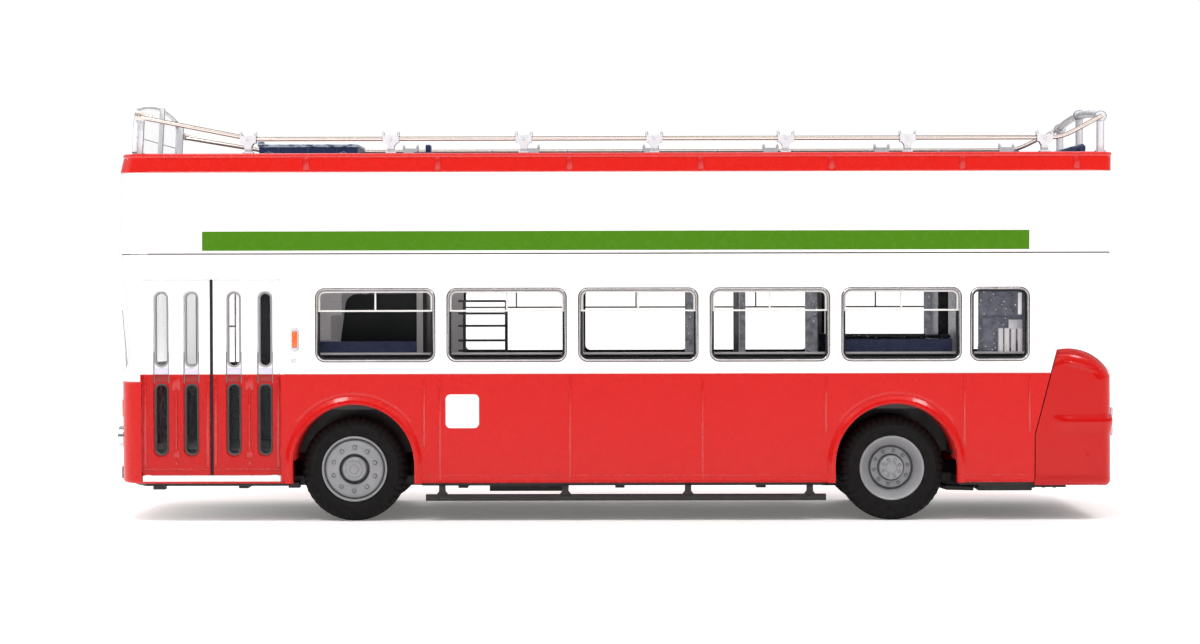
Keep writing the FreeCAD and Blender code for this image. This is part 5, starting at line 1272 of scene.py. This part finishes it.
# saddles and pins on each rail bracket
p = Piece()
for s in (-1, 1):
    for x in (-46.05, -28.1, -11.4, 5.0, 21.5, 36.8, 54.0):
        level = 48.2 if s < 0 else 48.05
        dome(p, side(s, 16.15), x, level - 0.05, 0.17, 0.1, 14, 0)
        plate(p, above(46.36), lambda i: rrect(x - 0.68, s * 15.6 - 0.62, x + 0.68, s * 15.6 + 0.62, 0.14, i, 3), 0.0, 0.24, 0.12, 0)
        for dx in (-0.93, 0.93):
            tube(p, [(x + dx, s * 15.6, level + 0.3), (x + dx, s * 15.6, level + 0.62), (x + dx * 1.03, s * 15.6, level + 0.86), (x + dx * 1.05, s * 15.6, level + 0.96)], [0.2, 0.19, 0.13, 0.05], 10, 0)
p.build("bracket_pins", ["bracket"], slot="rail_plastic")
# upper windscreen trim: rolled top edge, foot strip and a level line
p = Piece()
def crown(y):
    return 52.1 + (math.sqrt(108.0 ** 2 - y * y) - math.sqrt(108.0 ** 2 - 14.3 ** 2))
def lean(z):
    return -60.75 + 0.0621 * (z - 46.35)


def edge_run(t):
    """A point (y, z) along the screen's outline from one foot over the crown to the other."""
    pts = [(-15.42, 46.6), (-15.42, 50.6), (-15.1, 51.4), (-14.25, 51.98)] + [(-13.8 + 27.6 * k / 24, crown(-13.8 + 27.6 * k / 24) - 0.06) for k in range(25)] + [(14.25, 51.98), (15.1, 51.4), (15.42, 50.6), (15.42, 46.6)]
    return pts


secs = []
for y, z in edge_run(0):
    n = Vector((y * 0.35, z - 44.0)).normalized()
    sec = []
    for o, h in ((-0.03, -0.14), (-0.05, 0.0), (0.0, 0.08), (0.45, 0.08), (0.5, 0.0), (0.48, -0.14)):
        yy, zz = y + n.x * h, z + n.y * h
        sec.append((lean(zz) + o, yy, zz))
    secs.append(sec)
p.loft(secs, cap=(True, True), mat=0)
for z, h in ((46.45, 0.4), (48.55, 0.12)):
    bar(p, lambda a, b, h2: (lean(b) - h2, a, b), -15.3, z, 15.3, z + h, -0.02, 0.05, 0.03, 0.04, 0)
p.build("upper_screen_trim", ["post"], slot="clear_glazing")

# ------------------------------------------------------------------ upper deck inside
p = Piece()
for s in (-1, 1):
    inner = lambda a, b, h, s=s: (a, s * (15.2 - h), b)
    for x in [-50.0 + 8.4 * k for k in range(13)]:
        if s > 0 and -46.5 < x < -32:
            continue
        bar(p, inner, x - 0.22, 35.6, x + 0.22, 45.7, -0.02, 0.16, 0.09, 0.12, 0)
    bar(p, inner, -57.5, 45.0, 59.0, 45.35, -0.02, 0.14, 0.08, 0.1, 0)
    bar(p, inner, -57.5, 35.55, 59.0, 36.2, -0.02, 0.12, 0.08, 0.1, 1)
p.build("upper_side_linings", ["grey", "blue"], slot="grey_plastic")
# aisle mat on the upper floor, with ribs across it
p = Piece()
bar(p, above(35.5), -57.0, -3.6, 52.8, 3.6, -0.02, 0.08, 0.06, 0.4, 0)
for k in range(73):
    x = -56.2 + 1.5 * k
    bar(p, above(35.58), x - 0.2, -3.3, x + 0.2, 3.3, -0.02, 0.06, 0.04, 0.1, 0)
p.build("upper_aisle_mat", ["dark"], slot="blue_plastic")

# ------------------------------------------------------------------ saloon details seen through the glass
p = Piece()
# rear bench top cover and the slatted heater panel beside it
bar(p, above(22.45), 50.2, -14.1, 51.0, 14.1, -0.02, 0.12, 0.06, 0.2, 0)
p.build("rear_bench_top", ["benchtop"], slot="grey_plastic")
# slatted heater panel beside the rear bench: its lining, mottled backing and panel glow as painted light, and a
# glowing white strip stands in for the lit edge of the glazing
p = Piece()
bar(p, side(-1, 13.6), 46.5, 19.8, 52.2, 25.6, -0.2, 0.0, 0.08, 0.2, 2, True)
for x in (48.75, 49.55, 50.38, 51.2):
    bar(p, side(-1, 14.3), x - 0.3, 21.1, x + 0.3, 24.2, -0.6, 0.0, 0.12, 0.08, 0)
bar(p, side(-1, 14.3), 49.7, 24.1, 51.5, 25.3, -0.6, 0.0, 0.1, 0.12, 1)
bar(p, side(-1, 13.6), 51.03, 25.9, 51.5, 28.7, -0.2, 0.1, 0.08, 0.1, 3)
p.build("rear_quarter_slats", ["lining", "bracket", "bulkhead", "step"], slot="grey_plastic")
p = Piece()
plate(p, side(-1, 13.2), lambda i: rrect(46.15, 20.4, 52.3, 30.6, 0.3, i, 3), -0.8, -0.3, 0.1, 0, True)
p.build("rear_quarter_panel", ["bulkhead"], slot="grey_plastic")
# pillars of the far wall seen through the middle windows; the far-side linings glow as painted light
p = Piece()
for s in (-1, 1):
    for x in PILLARS[1:]:
        inner = lambda a, b, h, s=s: (a, s * (14.66 - h), b)
        if s > 0 and x > 0:
            bar(p, inner, x - 1.55, 18.0, x + 0.15, 31.5, 0.0, 0.25, 0.14, 0.2, 1)
        else:
            bar(p, inner, x - 1.05, 18.0, x + 1.05, 31.5, 0.0, 0.25, 0.14, 0.2, 2 if s > 0 else 0)
p.build("pillar_linings", ["grey", "farlining", "lining"], slot="grey_plastic")
# pale lining of the stairwell and the post at the foot of the stairs, both glowing as painted light, and the dark
# columns
p = Piece()
bar(p, side(1, 14.6), -46.0, 20.0, -36.0, 31.4, -0.35, 0.0, 0.12, 0.3, 0, True)
for z in (23.6, 27.4):
    bar(p, lambda a, b, h: (a, 14.25 - h, b), -45.4, z, -36.6, z + 0.3, -0.02, 0.12, 0.06, 0.1, 0)
rbox(p, -26.55, -25.75, 4.75, 5.55, 9.15, 33.5, 0.16, 0)
rbox(p, 43.2, 44.75, 4.1, 4.9, 9.15, 33.4, 0.16, 1)
rbox(p, -49.0, -46.4, 12.55, 13.05, 9.15, 33.0, 0.14, 1)
bar(p, lambda a, b, h: (a, -9.9 - h, b), 28.9, 22.82, 43.0, 23.3, -0.4, 0.0, 0.1, 0.15, 2, True)
p.build("saloon_posts_and_linings", ["lining", "dark", "benchtop"], slot="grey_plastic")
# inside of the front corner pillar: white that glows as painted light where the corner lies in shade
p = Piece()
bar(p, side(1, 14.6), -60.6, 18.8, -57.75, 31.0, -0.3, 0.0, 0.1, 0.3, 0, True)
bar(p, lambda a, b, h: (a, 14.3 - h, b), -59.6, 22.2, -59.3, 30.4, -0.02, 0.12, 0.06, 0.1, 0)
p.build("front_pillar_lining", ["painted_light_white"], slot="clear_glazing")
# a ledge along each side's inner wall below the windows, and sill ledges on the nearside
# the pale ledges glow as painted light
p = Piece()
for s in (-1, 1):
    inner = lambda a, b, h, s=s: (a, s * (14.66 - h), b)
    x0 = -39.0 if s < 0 else -22.4
    bar(p, inner, x0, 18.6, 52.0, 19.2, 0.0, 0.5, 0.1, 0.15, 0)
    if s < 0:
        bar(p, inner, x0, 20.0, 52.0, 21.0, -0.02, 0.3, 0.1, 0.1, 1)
        bar(p, inner, x0, 20.95, 52.0, 21.26, -0.02, 0.36, 0.1, 0.08, 0)
p.build("saloon_sill_ledges", ["lining", "dark"], slot="grey_plastic")
# lagging on the textured partition strip seen in the fourth window
# the pale and mottled panels glow as painted light
p = Piece()
for x0, x1 in ((16.26, 17.02), (17.14, 17.91)):
    bar(p, side(1, 13.2), x0, 9.2, x1, 31.6, -0.25, 0.25, 0.12, 0.12, 1, True)
bar(p, side(1, 13.2), 17.0, 9.2, 17.16, 31.6, -0.25, 0.12, 0.03, 0.03, 0, True)
p.build("saloon_stanchion_panels", ["lining", "farlining"], slot="grey_plastic")
# steering wheel hub, dash dials
p = Piece()
surf = lambda a, b, h: (-56.9 + (b - 15.2) * -0.7 + h * 0.8, a, b + h * 0.3)
for y in (7.6, 9.2, 10.8):
    dome(p, lambda a, b, h: (-57.25 + h, a, b), y, 15.7, 0.4, 0.15, 18, 0, 0.1)
dome(p, above(17.35), -55.3, 9.2, 0.5, 0.18, 18, 0)
p.build("cab_dials", ["grey"], slot="black_plastic")

# ------------------------------------------------------------------ underside
p = Piece()
# leaf springs, differential, propeller shaft, exhaust and fixings
for ax, ys in ((-32.9, (-9.2, 9.2)), (34.9, (-6.0, 6.0))):
    for y in ys:
        for k, (half, z) in enumerate(((7.6, 4.35), (6.0, 4.1), (4.4, 3.85))):
            pts = [(ax - half + half * 2 * j / 12, y, z + 0.55 * (abs(j - 6) / 6.0) ** 2) for j in range(13)]
            secs = [[(x, y - 0.45, zz), (x, y + 0.45, zz), (x, y + 0.45, zz + 0.2), (x, y - 0.45, zz + 0.2)] for x, _, zz in pts]
            p.loft(secs, cap=(True, True), mat=0)
        for dx in (-0.9, 0.9):
            tube(p, [(ax + dx, y - 0.6, 3.7), (ax + dx, y - 0.6, 4.6)], 0.14, 8)
            tube(p, [(ax + dx, y + 0.6, 3.7), (ax + dx, y + 0.6, 4.6)], 0.14, 8)
tube(p, [(-4.5, 2.6, 3.75), (10.0, 2.6, 3.75), (30.8, 0.9, 4.05)], 0.45, 14)
tube(p, [(46.0, -9.0, 3.6), (42.6, -9.2, 3.7), (42.0, -6.5, 3.75), (40.0, -5.0, 3.8), (30.0, -3.2, 3.8), (27.0, -3.2, 3.8)], 0.38, 12)
rbox(p, 30.6, 34.2, -1.6, 1.6, 3.4, 4.6, 0.5)
for x, y in ((-57.0, 8.0), (-57.0, -8.0), (58.6, 8.0), (58.6, -8.0), (-14.0, 9.5), (6.0, -9.5), (20.6, 10.6), (-30.0, 0.0)):
    dome(p, under(4.45), x, y, 0.55, 0.3, 20)
    bar(p, under(4.15), x - 0.42, y - 0.07, x + 0.42, y + 0.07, -0.02, 0.04, 0.02, 0.02)
for k in range(9):
    bar(p, under(3.2), 46.0 + 1.4 * k, -3.2, 46.5 + 1.4 * k, 10.2, -0.05, 0.14, 0.08, 0.15)
p.build("underside_fittings", ["black"], slot="black_plastic")
# rings round the two plinth screw holes
p = Piece()
for x in (-53.0, 23.0):
    frame_ring(p, under(4.45), lambda i: ngon(x, 0.0, 2.4 - i, 36), [(0, -0.02), (0.05, 0.14), (0.2, 0.2), (0.9, 0.2), (1.05, 0.14), (1.1, -0.02)], 0)
p.build("screw_boss_rings", ["black"], slot="black_plastic")
# guard rail: rolled edge and clips
p = Piece()
for s in (-1, 1):
    tube(p, [(-23.8, s * 15.36, 2.62), (0, s * 15.36, 2.62), (26.5, s * 15.36, 2.62)], 0.07, 8)
    tube(p, [(-23.8, s * 15.36, 3.28), (0, s * 15.36, 3.28), (26.5, s * 15.36, 3.28)], 0.07, 8)
    for x in (-21.84, -6.29, 9.2, 24.56):
        bar(p, side(s, 15.35), x - 0.5, 2.7, x + 0.5, 3.2, -0.02, 0.1, 0.06, 0.1)
p.build("guard_edges", ["guard"], slot="black_plastic")

# ------------------------------------------------------------------ setting, light and camera
floor = Piece()
N = 40
floor.loft([[(-6000 + 12000 * i / N, -6000 + 12000 * j / N, 0.0) for j in range(N + 1)] for i in range(N + 1)], closed=False)
me = bpy.data.meshes.new("studio_floor")
me.from_pydata([(x * MM, y * MM, z * MM) for x, y, z in floor.v], [], floor.f)
g = Graph("studio_floor_white")
g.color(srgb(250, 250, 250), 0.01, 0.02)
g.rough(0.5, 0.65, 0.05)
g.const(Specular_IOR_Level=0.2)
# painted shadow: the floor's glow is low under and round the bus and rises to full about 30 mm out from its sides and
# ends, so the floor reads darker there
ends = g.math("MAXIMUM", g.math("SUBTRACT", g.x, 66.0), g.math("MULTIPLY", g.math("SUBTRACT", -36.0, g.x), 0.8))
away = g.math("MAXIMUM", g.math("SUBTRACT", g.math("ABSOLUTE", g.y), 20.0), ends)
g.set(g.bsdf, "Emission Strength", g.spread(away, 0.0, 30.0, 0.14, 0.62))
g.bsdf.inputs["Emission Color"].default_value = (1.0, 0.975, 0.95, 1.0)
# the floor is clear from below, so that the underside can be looked at
side_seen = g.add("ShaderNodeNewGeometry").outputs["Backfacing"]
g.set(g.bsdf, "Alpha", g.math("SUBTRACT", 1.0, side_seen))
me.materials.append(g.mat)
if me.polygons[0].normal.z < 0:
    me.flip_normals()
ground = bpy.data.objects.new("studio_floor", me)
bpy.context.scene.collection.objects.link(ground)

world = bpy.data.worlds.new("studio")
bpy.context.scene.world = world
world.use_nodes = True
wt = world.node_tree
wt.nodes.clear()
wo = wt.nodes.new("ShaderNodeOutputWorld")
bg_seen = wt.nodes.new("ShaderNodeBackground")
bg_seen.inputs[0].default_value = (1, 1, 1, 1)
bg_seen.inputs[1].default_value = 1.05
bg_lit = wt.nodes.new("ShaderNodeBackground")
tc = wt.nodes.new("ShaderNodeTexCoord")
sp = wt.nodes.new("ShaderNodeSeparateXYZ")
wt.links.new(tc.outputs["Generated"], sp.inputs[0])
# darker in front of the bus so that its gloss stays deep, bright above and behind
def ramp(src, a, b, lo, hi):
    n = wt.nodes.new("ShaderNodeMapRange")
    n.inputs[1].default_value, n.inputs[2].default_value = a, b
    n.inputs[3].default_value, n.inputs[4].default_value = lo, hi
    wt.links.new(src, n.inputs[0])
    return n.outputs[0]


sky = ramp(sp.outputs[2], 0.05, 0.4, 0.0, 0.46)
back = ramp(sp.outputs[1], 0.1, 0.5, 0.1, 0.46)
total = wt.nodes.new("ShaderNodeMath")
total.operation = "ADD"
wt.links.new(sky, total.inputs[0])
wt.links.new(back, total.inputs[1])
bg_lit.inputs[0].default_value = (1, 1, 1, 1)
wt.links.new(total.outputs[0], bg_lit.inputs[1])
lp = wt.nodes.new("ShaderNodeLightPath")
mx = wt.nodes.new("ShaderNodeMixShader")
wt.links.new(lp.outputs["Is Camera Ray"], mx.inputs[0])
wt.links.new(bg_lit.outputs[0], mx.inputs[1])
wt.links.new(bg_seen.outputs[0], mx.inputs[2])
wt.links.new(mx.outputs[0], wo.inputs[0])


def area(name, at, aim, size, power, tall=None):
    li = bpy.data.lights.new(name, "AREA")
    li.shape = "RECTANGLE"
    li.size, li.size_y = size, tall or size
    li.energy = power
    ob = bpy.data.objects.new(name, li)
    ob.location = at
    ob.rotation_euler = (Vector(aim) - Vector(at)).to_track_quat("-Z", "Y").to_euler()
    bpy.context.scene.collection.objects.link(ob)


area("soft_top", (0.0, -0.15, 0.40), (0, 0, 0.02), 0.7, 0.82, 0.08)
area("soft_front", (-0.1, -0.62, 0.50), (0, 0, 0.02), 0.5, 0.6, 0.3)
area("soft_back", (0.1, 0.6, 0.4), (0, 0, 0.02), 0.5, 0.7, 0.3)
area("soft_left", (-0.6, 0.05, 0.3), (0, 0, 0.02), 0.3, 0.3, 0.3)
area("soft_right", (0.6, 0.05, 0.3), (0, 0, 0.02), 0.3, 0.3, 0.3)
area("small_box_left", (-0.075, -0.08, 0.135), (-0.02, 0, 0.02), 0.025, 0.05)
area("small_box_right", (0.105, -0.08, 0.135), (0.04, 0, 0.02), 0.025, 0.05)

cam_data = bpy.data.cameras.new("photo_camera")
cam_data.sensor_fit = "HORIZONTAL"
cam_data.sensor_width = 36.0
cam_data.lens = 36.0 * 2550.1 / 1200.0
cam_data.clip_start, cam_data.clip_end = 0.01, 50.0
camera = bpy.data.objects.new("photo_camera", cam_data)
yaw, pitch, roll = (math.radians(v) for v in (-0.325, -1.101, -0.124))
fwd = Vector((math.sin(yaw), math.cos(yaw), 0.0))
right = Vector((math.cos(yaw), -math.sin(yaw), 0.0))
upv = Vector((0, 0, 1))
fwd2 = math.cos(pitch) * fwd + math.sin(pitch) * upv
up2 = -math.sin(pitch) * fwd + math.cos(pitch) * upv
r3 = math.cos(roll) * right + math.sin(roll) * up2
u3 = -math.sin(roll) * right + math.cos(roll) * up2
camera.matrix_world = Matrix((
    (r3.x, u3.x, -fwd2.x, -0.00005), (r3.y, u3.y, -fwd2.y, -0.3366), (r3.z, u3.z, -fwd2.z, 0.03127), (0, 0, 0, 1)))
bpy.context.scene.collection.objects.link(camera)
bpy.context.scene.camera = camera
bpy.context.scene.view_settings.view_transform = "Standard"
bpy.context.scene.view_settings.look = "None"
bpy.context.scene.view_settings.exposure = 0.0
